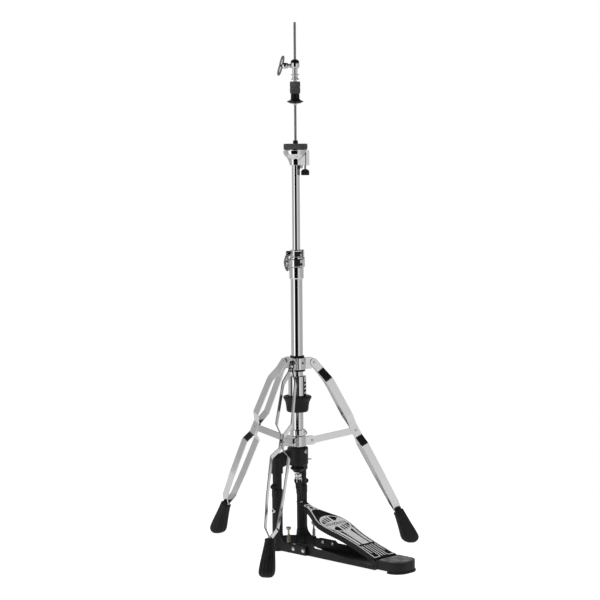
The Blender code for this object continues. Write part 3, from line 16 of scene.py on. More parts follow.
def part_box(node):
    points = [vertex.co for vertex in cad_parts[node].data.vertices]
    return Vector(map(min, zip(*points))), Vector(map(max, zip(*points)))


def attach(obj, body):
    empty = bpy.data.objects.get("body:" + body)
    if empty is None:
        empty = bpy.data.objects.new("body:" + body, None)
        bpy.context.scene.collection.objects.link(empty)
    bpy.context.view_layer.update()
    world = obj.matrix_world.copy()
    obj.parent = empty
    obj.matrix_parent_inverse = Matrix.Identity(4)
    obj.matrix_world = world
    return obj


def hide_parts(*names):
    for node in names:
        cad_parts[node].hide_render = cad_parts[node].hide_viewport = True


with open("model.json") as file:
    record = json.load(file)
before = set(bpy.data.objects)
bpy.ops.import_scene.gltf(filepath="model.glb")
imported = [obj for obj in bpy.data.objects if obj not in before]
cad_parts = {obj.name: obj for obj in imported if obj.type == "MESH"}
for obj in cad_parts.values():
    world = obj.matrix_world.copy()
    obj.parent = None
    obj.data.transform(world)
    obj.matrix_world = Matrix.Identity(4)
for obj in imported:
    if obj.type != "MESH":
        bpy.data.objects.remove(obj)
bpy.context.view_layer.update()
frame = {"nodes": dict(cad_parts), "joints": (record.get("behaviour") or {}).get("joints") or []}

MM = 0.001
UP = Vector((0.0, 0.0, 1.0))
JOINTS = {joint["name"]: joint for joint in frame["joints"]}


def column_place():
    """The column's axis on the floor, from the lower tube."""
    low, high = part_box("base_tube")
    return Vector(((low.x + high.x) / 2.0, (low.y + high.y) / 2.0, 0.0))


COLUMN = column_place()


def span(node):
    """Lowest and highest corner of a CAD node in millimetres from the column's axis."""
    low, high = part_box(node)
    return (low - COLUMN) / MM, (high - COLUMN) / MM


def joint_place(name):
    """A hinge's place in millimetres from the column's axis."""
    return (Vector(JOINTS[name]["pos_m"]) - COLUMN) / MM


WING_AZIMUTH = math.atan2(JOINTS["clutch_wing_turn"]["axis"][1], JOINTS["clutch_wing_turn"]["axis"][0])
KNOB_AZIMUTH = WING_AZIMUTH + math.pi
FRONT_AZIMUTH = WING_AZIMUTH + math.pi / 2.0
LEGS = {
    name: math.atan2(joint_place("leg_hinge_" + name).y, joint_place("leg_hinge_" + name).x)
    for name in ("rear", "left", "right")
}

TUBE_R = span("base_tube")[1].x
UPPER_R = span("upper_tube")[1].x
ROD_R = span("pull_rod_upper")[1].x


# ---------------------------------------------------------------- materials
def node_material(name, base, roughness, metallic, grain, bump, spots=0.0, stretch=(1.0, 1.0, 1.0),
                  **sockets):
    """Principled material whose colour, roughness and bump vary with noise at the surface's own scale."""
    made = bpy.data.materials.new(name)
    made.use_nodes = True
    nodes = made.node_tree.nodes
    links = made.node_tree.links
    shader = nodes["Principled BSDF"]
    shader.inputs["Metallic"].default_value = metallic
    for socket, value in sockets.items():
        shader.inputs[socket.replace("_", " ")].default_value = value
    place = nodes.new("ShaderNodeTexCoord")
    scale = nodes.new("ShaderNodeMapping")
    scale.inputs["Scale"].default_value = stretch
    links.new(place.outputs["Object"], scale.inputs["Vector"])
    fine = nodes.new("ShaderNodeTexNoise")
    fine.inputs["Scale"].default_value = grain
    fine.inputs["Detail"].default_value = 4.0
    links.new(scale.outputs["Vector"], fine.inputs["Vector"])
    broad = nodes.new("ShaderNodeTexNoise")
    broad.inputs["Scale"].default_value = grain / 14.0
    broad.inputs["Detail"].default_value = 3.0
    links.new(scale.outputs["Vector"], broad.inputs["Vector"])
    colour = nodes.new("ShaderNodeValToRGB")
    colour.color_ramp.elements[0].position = 0.3
    colour.color_ramp.elements[0].color = (*[c * (1.0 - spots) for c in base], 1.0)
    colour.color_ramp.elements[1].position = 0.7
    colour.color_ramp.elements[1].color = (*[min(1.0, c * (1.0 + spots)) for c in base], 1.0)
    links.new(broad.outputs["Fac"], colour.inputs["Fac"])
    links.new(colour.outputs["Color"], shader.inputs["Base Color"])
    rough = nodes.new("ShaderNodeMapRange")
    rough.inputs["From Min"].default_value = 0.3
    rough.inputs["From Max"].default_value = 0.7
    rough.inputs["To Min"].default_value = roughness[0]
    rough.inputs["To Max"].default_value = roughness[1]
    links.new(broad.outputs["Fac"], rough.inputs["Value"])
    links.new(rough.outputs["Result"], shader.inputs["Roughness"])
    if bump > 0.0:
        raised = nodes.new("ShaderNodeBump")
        raised.inputs["Strength"].default_value = 1.0
        raised.inputs["Distance"].default_value = bump * MM
        links.new(fine.outputs["Fac"], raised.inputs["Height"])
        links.new(raised.outputs["Normal"], shader.inputs["Normal"])
    return made


LOOKS = {
    "chrome": node_material("chrome", (0.90, 0.90, 0.91), (0.03, 0.07), 1.0, 90.0, 0.0008, 0.03),
    "satin": node_material("satin_steel", (0.90, 0.90, 0.90), (0.12, 0.18), 1.0, 260.0, 0.0012, 0.03),
    "casting": node_material("black_casting", (0.012, 0.012, 0.013), (0.34, 0.44), 0.0, 900.0, 0.03, 0.25,
                             Specular_IOR_Level=0.28),
    "plastic": node_material("black_plastic", (0.009, 0.009, 0.0095), (0.34, 0.46), 0.0, 1100.0, 0.015, 0.3,
                             Specular_IOR_Level=0.2),
    "rubber": node_material("rubber", (0.011, 0.011, 0.011), (0.42, 0.55), 0.0, 700.0, 0.04, 0.35,
                            Specular_IOR_Level=0.3),
    "felt": node_material("felt", (0.055, 0.055, 0.058), (0.9, 1.0), 0.0, 1500.0, 0.35, 0.35,
                          Sheen_Weight=0.15),
    "zinc": node_material("zinc", (0.50, 0.45, 0.37), (0.22, 0.38), 1.0, 600.0, 0.01, 0.2),
    "dark": node_material("inside_shadow", (0.006, 0.006, 0.006), (0.5, 0.7), 0.0, 500.0, 0.01, 0.2),
    "tray": node_material("footboard_black", (0.008, 0.008, 0.0085), (0.42, 0.55), 0.0, 1600.0, 0.07, 0.3,
                          Specular_IOR_Level=0.3),
    "silver": node_material("footboard_silver", (0.72, 0.72, 0.73), (0.38, 0.5), 0.0, 1500.0, 0.03, 0.08),
    "chain": node_material("chain_steel", (0.10, 0.10, 0.115), (0.22, 0.34), 0.85, 800.0, 0.01, 0.3),
}


# ---------------------------------------------------------------- mesh helpers (millimetres)
def fillet(points, radius, steps=3):
    """The same open outline with its inner corners rounded."""
    points = [Vector(point) for point in points]
    result = [points[0]]
    for before, corner, after in zip(points, points[1:], points[2:]):
        back = before - corner
        on = after - corner
        reach = min(radius, back.length * 0.45, on.length * 0.45)
        start = corner + back.normalized() * reach
        end = corner + on.normalized() * reach
        for i in range(steps + 1):
            t = i / steps
            result.append(start * (1 - t) ** 2 + corner * 2 * t * (1 - t) + end * t * t)
    result.append(points[-1])
    return result


def lathe(outline, radius=0.5, steps=64, closed=False):
    """Spin (radius, height) points about Z, corners rounded."""
    if closed:
        middle = (Vector(outline[0]) + Vector(outline[-1])) / 2.0
        outline = fillet([middle, *outline, middle], radius)[:-1]
    else:
        outline = fillet(outline, radius)
    bm = bmesh.new()
    count = len(outline)
    rings = []
    for r, z in outline:
        if r < 1e-4:
            rings.append([bm.verts.new((0.0, 0.0, z))])
            continue
        ring = []
        for i in range(steps):
            turn = math.tau * i / steps
            ring.append(bm.verts.new((r * math.cos(turn), r * math.sin(turn), z)))
        rings.append(ring)
    pairs = list(zip(rings, rings[1:]))
    if closed:
        pairs.append((rings[count - 1], rings[0]))
    for low, high in pairs:
        bridge(bm, low, high)
    return bm


def peg(size, low, high, radius=0.5, steps=64):
    """Solid cylinder of the radius size about the axis, between two heights, its edges rounded by radius."""
    return lathe([(0.0, low), (size, low), (size, high), (0.0, high)], radius, steps)


def pipe(inner, outer, low, high, radius=0.5, steps=64, closed=False):
    """Cylinder with a hole along the axis, between two heights."""
    return lathe([(inner, low), (outer, low), (outer, high), (inner, high)], radius, steps, closed)


def bridge(bm, low, high):
    """Faces between two rings; either may be a single point."""
    if len(low) == 1 and len(high) == 1:
        return
    steps = max(len(low), len(high))
    for i in range(steps):
        j = (i + 1) % steps
        if len(low) == 1:
            bm.faces.new((low[0], high[j], high[i]))
        elif len(high) == 1:
            bm.faces.new((low[i], low[j], high[0]))
        else:
            bm.faces.new((low[i], low[j], high[j], high[i]))


def loft(rings, caps=True):
    """Join rings of points with equal counts."""
    bm = bmesh.new()
    loops = [[bm.verts.new(point) for point in points] for points in rings]
    for low, high in zip(loops, loops[1:]):
        bridge(bm, low, high)
    if caps:
        bm.faces.new(loops[0])
        bm.faces.new(loops[-1])
    return bm


def sweep(path, section, closed=False, up=UP):
    """Carry a section of (side, up) points along a path."""
    rings = []
    count = len(path)
    for i, point in enumerate(path):
        before = path[(i - 1) % count] if closed or i > 0 else point
        after = path[(i + 1) % count] if closed or i < count - 1 else point
        along = (Vector(after) - Vector(before)).normalized()
        side = along.cross(up)
        if side.length < 1e-4:
            side = Vector((1.0, 0.0, 0.0))
        side.normalize()
        top = side.cross(along)
        rings.append([Vector(point) + side * a + top * b for a, b in section])
    if closed:
        rings.append(rings[0])
    bm = loft(rings, caps=not closed)
    if closed:
        bmesh.ops.remove_doubles(bm, verts=bm.verts, dist=1e-4)
    return bm


def round_section(radius, sides=10, squash=1.0):
    """Points of a round section."""
    return [(radius * math.cos(math.tau * k / sides),
             squash * radius * math.sin(math.tau * k / sides)) for k in range(sides)]


def arc(centre, radius, start, end, steps):
    """Points on a flat arc, angles in degrees."""
    points = []
    for i in range(steps + 1):
        angle = math.radians(start + (end - start) * i / steps)
        points.append((centre[0] + radius * math.cos(angle), centre[1] + radius * math.sin(angle)))
    return points


def prism(outline, low, high, bevel=0.4):
    """Extrude a flat XY outline from low to high, with its rims bevelled."""
    bm = bmesh.new()
    face = bm.faces.new([bm.verts.new((x, y, low)) for x, y in outline])
    grown = bmesh.ops.extrude_face_region(bm, geom=[face])
    moved = [item for item in grown["geom"] if isinstance(item, bmesh.types.BMVert)]
    bmesh.ops.translate(bm, verts=moved, vec=(0.0, 0.0, high - low))
    bmesh.ops.recalc_face_normals(bm, faces=bm.faces)
    if bevel > 0.0:
        soften(bm, bevel)
    return bm


def soften(bm, width, angle=32.0, segments=2):
    """Bevel the edges sharper than the angle."""
    bmesh.ops.recalc_face_normals(bm, faces=bm.faces)
    limit = math.radians(angle)
    edges = [e for e in bm.edges if len(e.link_faces) == 2 and e.calc_face_angle(0.0) > limit]
    bmesh.ops.bevel(bm, geom=edges, offset=width, segments=segments, profile=0.5, affect="EDGES",
                    clamp_overlap=True)
    return bm


def box(low, high, bevel=0.5):
    """A softened box between two corners."""
    outline = [(low[0], low[1]), (high[0], low[1]), (high[0], high[1]), (low[0], high[1])]
    return prism(outline, low[2], high[2], bevel)


def moved(bm, matrix):
    """The same bmesh, transformed."""
    bmesh.ops.transform(bm, matrix=matrix, verts=bm.verts)
    return bm


def lying(azimuth, centre):
    """Lays a solid made about Z along a level line at an azimuth: its X is sideways, its Y is up."""
    outward = Vector((math.cos(azimuth), math.sin(azimuth), 0.0))
    turn = Matrix((UP.cross(outward), UP, outward)).transposed().to_4x4()
    return Matrix.Translation(centre) @ turn


def at(x, y, z):
    return Matrix.Translation((x, y, z))


def turned(angle, axis):
    return Matrix.Rotation(angle, 4, axis)


def joined(*parts):
    """Several bmeshes in one, without a Boolean."""
    result = bmesh.new()
    for part in parts:
        mesh = bpy.data.meshes.new("part")
        part.to_mesh(mesh)
        part.free()
        result.from_mesh(mesh)
        bpy.data.meshes.remove(mesh)
    return result


def evaluated(bm, build):
    """A bmesh after the modifiers that build adds to its object."""
    mesh = bpy.data.meshes.new("work")
    bmesh.ops.recalc_face_normals(bm, faces=bm.faces)
    bm.to_mesh(mesh)
    bm.free()
    worker = bpy.data.objects.new("work", mesh)
    bpy.context.scene.collection.objects.link(worker)
    build(worker)
    result = bmesh.new()
    result.from_object(worker, bpy.context.evaluated_depsgraph_get())
    bpy.data.objects.remove(worker)
    bpy.data.meshes.remove(mesh)
    return result


def cut(bm, *tools):
    """A solid less several others."""
    for tool in tools:
        mesh = bpy.data.meshes.new("tool")
        bmesh.ops.recalc_face_normals(tool, faces=tool.faces)
        tool.to_mesh(mesh)
        tool.free()
        cutter = bpy.data.objects.new("tool", mesh)
        bpy.context.scene.collection.objects.link(cutter)

        def add(worker, cutter=cutter):
            modifier = worker.modifiers.new("cut", "BOOLEAN")
            modifier.operation = "DIFFERENCE"
            modifier.solver = "EXACT"
            modifier.object = cutter

        bm = evaluated(bm, add)
        bpy.data.objects.remove(cutter)
        bpy.data.meshes.remove(mesh)
    return bm


def cast(voxel, smooth, *parts):
    """Overlapping solids grown into one casting with soft inner corners."""

    def add(worker):
        grown = worker.modifiers.new("grow", "REMESH")
        grown.mode = "VOXEL"
        grown.voxel_size = voxel
        relaxed = worker.modifiers.new("relax", "SMOOTH")
        relaxed.factor = 0.5
        relaxed.iterations = smooth

    return evaluated(joined(*parts), add)


def piece(name, bm, look, body, *nodes, matrix=None, sharp=38.0):
    """Make a shaded object from a bmesh in millimetres, and let it ride on its body."""
    bmesh.ops.recalc_face_normals(bm, faces=bm.faces)
    if matrix is not None:
        bmesh.ops.transform(bm, matrix=matrix, verts=bm.verts)
    bmesh.ops.scale(bm, verts=bm.verts, vec=(MM, MM, MM))
    mesh = bpy.data.meshes.new(name)
    bm.to_mesh(mesh)
    bm.free()
    mesh.materials.append(LOOKS[look])
    mesh.shade_smooth()
    mesh.set_sharp_from_angle(angle=math.radians(sharp))
    made = bpy.data.objects.new(name, mesh)
    made.location = COLUMN
    bpy.context.scene.collection.objects.link(made)
    straight = made.modifiers.new("straight_reflections", "WEIGHTED_NORMAL")
    straight.mode = "FACE_AREA"
    straight.weight = 50
    straight.keep_sharp = True
    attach(made, body)
    if nodes:
        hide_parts(*nodes)
    return made


# ---------------------------------------------------------------- fasteners
def cap_screw(radius, height, socket=0.55):
    """Round head with a hexagon socket, base at 0, looking up Z."""
    head = peg(radius, 0.0, height, radius * 0.18, 32)
    hole = prism(arc((0.0, 0.0), radius * socket, 0.0, 300.0, 5), height * 0.4, height * 2.0, 0.0)
    return cut(head, hole)


def dome_head(radius, height):
    """Domed bolt head on a thin washer."""
    outline = [(0.0, 0.0), (radius * 1.15, 0.0), (radius * 1.15, height * 0.18), (radius, height * 0.22)]
    for i in range(1, 7):
        angle = math.pi / 2.0 * i / 6.0
        outline.append((radius * math.cos(angle), height * (0.22 + 0.78 * math.sin(angle))))
    outline[-1] = (0.0, height)
    return lathe(outline, 0.15, 32)


def eyelet(radius, height, bore):
    """Hollow rivet's rolled rim with a sunk middle."""
    return lathe([(0.0, height * 0.25), (bore, height * 0.25), (bore, height), (radius * 0.8, height),
                  (radius, height * 0.3), (radius, 0.0), (0.0, 0.0)], height * 0.35, 32)


def wing_ring(reach, width, end, thick, sweep_back):
    """Cast wings: one oval loop with a bar across it at the barrel, its halves swept back."""
    path = []
    for k in range(24):
        angle = math.tau * k / 24.0
        x = width * math.cos(angle)
        depth = reach / 2.0 * math.sin(angle) * (0.72 + 0.28 * abs(math.cos(angle)))
        path.append(Vector((x, 0.0, end - 1.0 + depth + sweep_back * abs(x))))
    loop = sweep(smooth_path(path, 3, closed=True), round_section(thick, 12, 1.35), closed=True,
                 up=Vector((0.0, 1.0, 0.0)))
    bar = moved(peg(thick * 1.3, -reach * 0.46, reach * 0.46, 0.6, 20), at(0.0, 0.0, end - 1.0))
    return joined(loop, bar)


def smooth_path(points, steps, closed=False):
    """Catmull-Rom curve through points."""
    points = [Vector(point) for point in points]
    count = len(points)
    result = []
    last = count if closed else count - 1
    for i in range(last):
        a = points[(i - 1) % count] if closed or i > 0 else points[0] * 2 - points[1]
        b = points[i]
        c = points[(i + 1) % count]
        d = points[(i + 2) % count] if closed or i < count - 2 else points[-1] * 2 - points[-2]
        for k in range(steps):
            t = k / steps
            value = b * 2 + (c - a) * t + (a * 2 - b * 5 + c * 4 - d) * t * t + (b * 3 - a - c * 3
                + d) * t ** 3
            result.append(value * 0.5)
    if not closed:
        result.append(points[-1])
    return result


def wing_bolt(start, shank, barrel, barrel_r):
    """Screw of a wing bolt looking up Z from its tip at start: shank and ringed barrel."""
    z = start + shank
    end = z + barrel
    return lathe([(0.0, start), (2.5, start), (2.5, z), (barrel_r * 0.60, z),
                  (barrel_r * 0.66, z + barrel * 0.16),
                  (barrel_r * 0.96, z + barrel * 0.20), (barrel_r, z + barrel * 0.34),
                  (barrel_r * 0.9, z + barrel * 0.40),
                  (barrel_r * 0.98, z + barrel * 0.46), (barrel_r, z + barrel * 0.7),
                  (barrel_r * 0.84, z + barrel * 0.92),
                  (barrel_r * 0.6, end), (0.0, end + 0.8)], 0.7, 48)


# ---------------------------------------------------------------- column
def plain_tube(name, look, body, node, wall, sides=96):
    low, high = span(node)
    outer = high.x
    piece(name, pipe(outer - wall, outer, low.z, high.z, 0.4, sides, closed=True), look, body, node)


def build_clamp():
    """Height clamp: seamed sleeve, split band with ears and a knuckled hinge."""
    low, high = span("height_clamp")
    sleeve_top = low.z + 28.0
    sleeve = lathe([(TUBE_R + 0.3, low.z), (TUBE_R + 1.6, low.z), (TUBE_R + 3.2, low.z + 2.6),
                    (TUBE_R + 3.2, sleeve_top),
                    (TUBE_R + 0.3, sleeve_top)], 1.0, 96, closed=True)
    seam = pipe(16.9, 24.0, -0.45, 0.45, 0.05, 72, closed=True)
    seam = moved(seam, at(0.0, 0.0, low.z + 10.5) @ turned(WING_AZIMUTH, "Z") @ turned(math.radians(9.0),
        "Y"))
    piece("clamp_sleeve", cut(sleeve, seam), "chrome", "base", "height_clamp")
    band_low = sleeve_top + 0.4
    band = lathe([(UPPER_R + 0.6, band_low), (16.6, band_low), (18.2, band_low + 1.6), (18.2, high.z - 5.0),
                  (16.6, high.z - 3.2),
                  (16.6, high.z), (UPPER_R + 0.6, high.z)], 0.7, 96, closed=True)
    frame_out = lying(WING_AZIMUTH, (0.0, 0.0, (band_low + high.z) / 2.0))
    slit = moved(box((-0.9, -20.0, 9.0), (0.9, 20.0, 40.0), 0.0), frame_out)
    ears = moved(box((-5.6, -8.5, 13.0), (5.6, 8.5, 20.0), 1.6), frame_out)
    ears = cut(ears, moved(box((-0.9, -20.0, 9.0), (0.9, 20.0, 40.0), 0.0), frame_out))
    piece("clamp_band", cut(band, slit), "chrome", "base")
    piece("clamp_ears", ears, "chrome", "base")
    # Near-black sheet and lobe in the band's opening: painted shade where the opening falls in shadow.
    opening = joined(front_plate(18.2, -5.7, 9.4, band_low + 2.0, high.z - 4.6),
                     pivot_lobe(18.2, 12.2, band_low + 7.5, 3.9))
    piece("clamp_opening_shade", opening, "dark", "base")
    back = Vector((math.cos(KNOB_AZIMUTH), math.sin(KNOB_AZIMUTH), 0.0)) * 17.2
    build_knuckles("clamp_hinge", back, band_low + 0.8, high.z + 0.6, 3.4, "base")


def front_plate(radius, left, right, low, high):
    """Curved dark plate of painted shade in a band's opening, between two sideways offsets from the front.
    """
    start = math.degrees(FRONT_AZIMUTH) + math.degrees(math.asin(left / radius))
    end = math.degrees(FRONT_AZIMUTH) + math.degrees(math.asin(right / radius))
    outline = arc((0.0, 0.0), radius + 0.25, start, end, 12) + arc((0.0, 0.0), radius - 1.0, end, start, 12)
    return prism(outline, low, high, 0.15)


def pivot_lobe(radius, right, z, size):
    """Round dark lobe of painted shade beside an opening, where the hinge plate pivots."""
    start = FRONT_AZIMUTH + math.asin(right / radius)
    return moved(dome_head(size, size * 0.7),
                 lying(start, (0.0, 0.0, z)) @ at(0.0, 0.0, radius - size * 0.35))


def build_knuckles(name, place, low, high, radius, body):
    """Vertical hinge: three knuckles with grooves between them and a domed pin."""
    step = (high - low) / 3.0
    outline = [(0.0, low - 1.0), (radius * 0.5, low - 1.0), (radius * 0.55, low)]
    for i in range(3):
        start = low + step * i
        outline += [(radius, start + 0.3), (radius, start + step - 0.3), (radius * 0.72, start + step)]
    outline += [(radius * 0.6, high), (radius * 0.5, high + 1.2), (0.0, high + 1.2)]
    piece(name, moved(lathe(outline, 0.35, 32), at(*place)), "chrome", body)


def build_memory_lock():
    low, high = span("memory_lock")
    middle = (low.z + high.z) / 2.0
    ring = lathe([(UPPER_R + 0.35, low.z), (14.6, low.z), (15.4, low.z + 2.0), (14.2, low.z + 4.4),
                  (14.2, high.z - 4.4),
                  (15.4, high.z - 2.0), (14.6, high.z), (UPPER_R + 0.35, high.z)], 0.7, 96, closed=True)
    frame_out = lying(WING_AZIMUTH, (0.0, 0.0, middle))
    slit = moved(box((-0.9, -20.0, 8.0), (0.9, 20.0, 40.0), 0.0), frame_out)
    piece("lock_band", cut(ring, slit), "chrome", "memory_lock", "memory_lock")
    for side in (-1.0, 1.0):
        ear = box((min(side * 1.0, side * 5.0), -6.5, 12.0), (max(side * 1.0, side * 5.0), 6.5, 25.5), 3.0)
        piece("lock_ear", moved(ear, frame_out), "chrome", "memory_lock")
    sideways = at(0.0, 0.0, 17.6) @ turned(math.pi / 2.0, "Y")
    screw = joined(peg(2.0, -8.0, 5.6, 0.2, 24),
                   moved(cap_screw(4.0, 4.6), at(0.0, 0.0, 5.4)),
                   moved(dome_head(3.4, 2.2), at(0.0, 0.0, -5.2) @ turned(math.pi, "X")))
    piece("lock_screw", moved(moved(screw, sideways), frame_out), "chrome", "memory_lock",
          "memory_lock_screw")
    # Near-black sheet and lobe in the lock band's opening: painted shade where the opening falls in shadow.
    opening = joined(front_plate(14.2, -5.0, 9.6, low.z + 4.0, high.z - 3.2),
                     pivot_lobe(14.2, 11.6, high.z - 7.0, 3.4))
    piece("lock_opening_shade", opening, "dark", "memory_lock")
    back = Vector((math.cos(KNOB_AZIMUTH), math.sin(KNOB_AZIMUTH), 0.0)) * 15.6
    build_knuckles("lock_hinge", back, low.z + 0.8, high.z - 0.8, 3.6, "memory_lock")


def build_height_wing():
    tip = joint_place("height_wing_turn")
    start = 11.8
    outward = Vector((math.cos(WING_AZIMUTH), math.sin(WING_AZIMUTH), 0.0)) * start
    place = lying(WING_AZIMUTH, outward + UP * tip.z) @ turned(math.radians(84.0), "Z")
    piece("height_wing", moved(wing_ring(7.5, 19.0, 15.0, 2.4, -0.2), place), "wing", "height_wing")
    piece("height_wing_screw", moved(wing_bolt(0.0, 6.0, 8.0, 5.4), place), "chrome", "height_wing",
          "height_wing_bolt")


# ---------------------------------------------------------------- seat
def along_table(table, value):
    """Value read off a short table of (place, value) corners."""
    for (a, b), (c, d) in zip(table, table[1:]):
        if value <= c:
            return b + (d - b) * max(0.0, (value - a) / (c - a))
    return table[-1][1]


SEAT_FLARE = [(0.0, 14.6), (6.0, 15.4), (13.0, 18.4), (18.0, 21.0), (22.0, 25.0), (26.0, 28.2),
              (30.0, 29.6), (36.0, 30.0)]


def seat_ring(z, low):
    """One level of the seat casting: a throat that flares, and a wedge-shaped arm to the tilt screw."""
    left = along_table(SEAT_FLARE, z - low)
    throat = 12.6 + (left - 14.6) * 0.86
    points = []
    for k in range(96):
        angle = math.tau * k / 96.0
        x = math.cos(angle)
        y = math.sin(angle)
        reach = throat + (left - throat) * x * x if x < 0.0 else throat
        if x > 0.0:
            near = 15.0 / max(abs(y) + 0.27 * x, 1e-3)
            block = min(33.0 / x, near)
            reach = max(reach, min(block, 40.0)) if block > 4.0 else reach
        turn = KNOB_AZIMUTH + angle
        points.append((reach * math.cos(turn), reach * math.sin(turn), z))
    return points


def build_seat_casting():
    high = span("seat_casting")[1]
    bottom = high.z - 34.0
    top = high.z + 1.6
    levels = [bottom + (top - bottom) * i / 26.0 for i in range(27)]
    body = soften(loft([seat_ring(z, bottom) for z in levels]), 1.2, 50.0, 3)
    frame_knob = lying(KNOB_AZIMUTH, (0.0, 0.0, bottom))
    slit = moved(box((-17.0, -2.0, 23.4), (17.0, 31.0, 25.8), 0.0), frame_knob)
    screw = span("tilt_knob")
    knob_x = (screw[0].x + screw[1].x) / 2.0
    knob_y = (screw[0].y + screw[1].y) / 2.0
    bore = moved(peg(3.2, bottom - 9.0, top + 9.0, 0.1, 24), at(knob_x, knob_y, 0.0))
    frame_front = lying(FRONT_AZIMUTH, (0.0, 0.0, bottom))
    window = arc((0.0, 11.0), 5.2, 0.0, 180.0, 12) + [(-5.2, 0.6), (5.2, 0.6)]
    window = moved(prism(window, 9.9, 40.0, 0.0), frame_front)
    throat = lathe([(0.0, bottom - 5.0), (UPPER_R + 0.2, bottom - 5.0), (UPPER_R + 0.2, bottom + 12.0),
                    (5.6, bottom + 13.0), (5.6, top + 5.0), (0.0, top + 5.0)], 0.1, 48)
    body = cut(body, slit, bore, window, throat)
    piece("seat_casting_body", body, "chrome", "upper_tube", "seat_casting", sharp=30.0)
    # Near-black sheet inside the tilt slit: painted shade, not a real lining.
    slit_shade_sheet = moved(box((-7.4, -0.4, 23.6), (7.4, 30.6, 25.6), 0.2), frame_knob)
    piece("seat_slit_shadow", slit_shade_sheet, "dark", "upper_tube")
    plug = arc((0.0, 11.0), 5.0, 0.0, 180.0, 12) + [(-5.0, 0.9), (5.0, 0.9)]
    piece("seat_window", moved(prism(plug, 9.8, 11.0, 0.3), frame_front), "plastic", "upper_tube")
    boss = lathe([(0.0, bottom - 7.5), (3.0, bottom - 7.5), (4.4, bottom - 5.0), (5.0, bottom + 3.0),
                  (0.0, bottom + 3.0)], 0.8, 32)
    piece("seat_boss", moved(moved(boss, at(13.0, 0.0, 0.0)), turned(KNOB_AZIMUTH, "Z")), "chrome",
          "upper_tube")
    key_low, key_high = span("seat_key_screw")
    key = lathe([(0.0, key_low.z), (1.7, key_low.z), (1.7, key_low.z + 9.0), (1.2, key_low.z + 10.0),
                 (1.7, key_low.z + 11.0),
                 (2.4, key_high.z - 6.0), (2.4, bottom + 1.0), (0.0, bottom + 1.0)], 0.3, 24)
    piece("seat_key", moved(key, at((key_low.x + key_high.x) / 2.0, (key_low.y + key_high.y) / 2.0, 0.0)),
          "plastic",
          "upper_tube", "seat_key_screw")


def ribbed(outline, ribs, depth, low, high, steps=120):
    """Lathe whose outside is fluted between two heights."""
    bm = lathe(outline, 0.8, steps)
    for vert in bm.verts:
        if low < vert.co.z < high:
            r = math.hypot(vert.co.x, vert.co.y)
            turn = math.atan2(vert.co.y, vert.co.x)
            if r > outline[1][0] * 0.8:
                shrink = 1.0 - depth / r * (0.5 + 0.5 * math.cos(turn * ribs))
                vert.co.x *= shrink
                vert.co.y *= shrink
    return bm


def build_tilt_knob():
    low, high = span("tilt_knob")
    x = (low.x + high.x) / 2.0
    y = (low.y + high.y) / 2.0
    z = low.z
    outline = [(0.0, z), (8.6, z), (10.0, z + 1.2), (10.0, z + 6.0), (10.0, z + 10.6), (6.0, z + 14.0),
               (4.4, z + 14.6), (0.0, z + 14.6)]
    knob = ribbed(outline, 15, 0.9, z + 0.8, z + 11.2)
    piece("tilt_knob_grip", moved(knob, at(x, y, 0.0)), "plastic", "tilt_knob", "tilt_knob")
    stem = peg(2.3, z + 14.0, high.z, 0.3, 24)
    piece("tilt_knob_stem", moved(stem, at(x, y, 0.0)), "zinc", "tilt_knob")


def fuzzy(bm, depth, seed):
    """Push a felt's surface in and out a little, as pressed wool does."""
    random.seed(seed)
    bmesh.ops.recalc_face_normals(bm, faces=bm.faces)
    for vert in bm.verts:
        vert.co += vert.normal * random.uniform(-depth, depth)
    return bm


def fibres(inner, outer, low, high, count, seed, length=0.9):
    """Loose wool fibres on a felt ring: thin bent blades on its side and top."""
    random.seed(seed)
    bm = bmesh.new()
    for _ in range(count):
        turn = random.uniform(0.0, math.tau)
        out = Vector((math.cos(turn), math.sin(turn), 0.0))
        if random.random() < 0.72:
            root = out * outer + UP * random.uniform(low, high)
            normal = out
        else:
            root = out * random.uniform(inner, outer) + UP * high
            normal = UP
        lean = Vector((random.uniform(-1, 1), random.uniform(-1, 1), random.uniform(-1, 1)))
        tip = root + (normal * 0.55 + lean * 0.6).normalized() * random.uniform(0.4, 1.0) * length
        side = (tip - root).cross(normal + lean * 0.2).normalized() * 0.05
        base = root - normal * 0.15
        middle = (base + tip) / 2.0 + normal * 0.12
        points = [bm.verts.new(p) for p in (base - side, base + side, middle + side * 0.8,
                                            middle - side * 0.8, tip)]
        bm.faces.new(points[:4])
        bm.faces.new((points[3], points[2], points[4]))
    return bm


def felt_ring(name, node, body, inner, fuzz_seed, groove=None):
    low, high = span(node)
    outer = (high.x - low.x) / 2.0 - 0.5
    outline = [(inner, low.z)]
    steps = 9
    for i in range(steps + 1):
        z = low.z + (high.z - low.z) * i / steps
        bulge = 0.45 * math.sin(math.pi * i / steps)
        outline.append((outer + bulge, z))
    outline.append((inner, high.z))
    bm = lathe(outline, 0.8, 150, closed=True)
    if groove:
        for vert in bm.verts:
            r = math.hypot(vert.co.x, vert.co.y)
            if r > outer * 0.9 and abs(vert.co.z - groove) < 1.0:
                vert.co.x *= 1.0 - 0.6 / r
                vert.co.y *= 1.0 - 0.6 / r
    centre = at((low.x + high.x) / 2.0, (low.y + high.y) / 2.0, 0.0)
    piece(name, moved(fuzzy(bm, 0.16, fuzz_seed), centre), "felt", body, node, sharp=80.0)
    strands = fibres(inner + 1.0, outer + 0.2, low.z + 0.4, high.z - 0.2, int(36 * outer), fuzz_seed + 1)
    piece(name + "_fibres", moved(strands, centre), "felt", body, sharp=180.0)


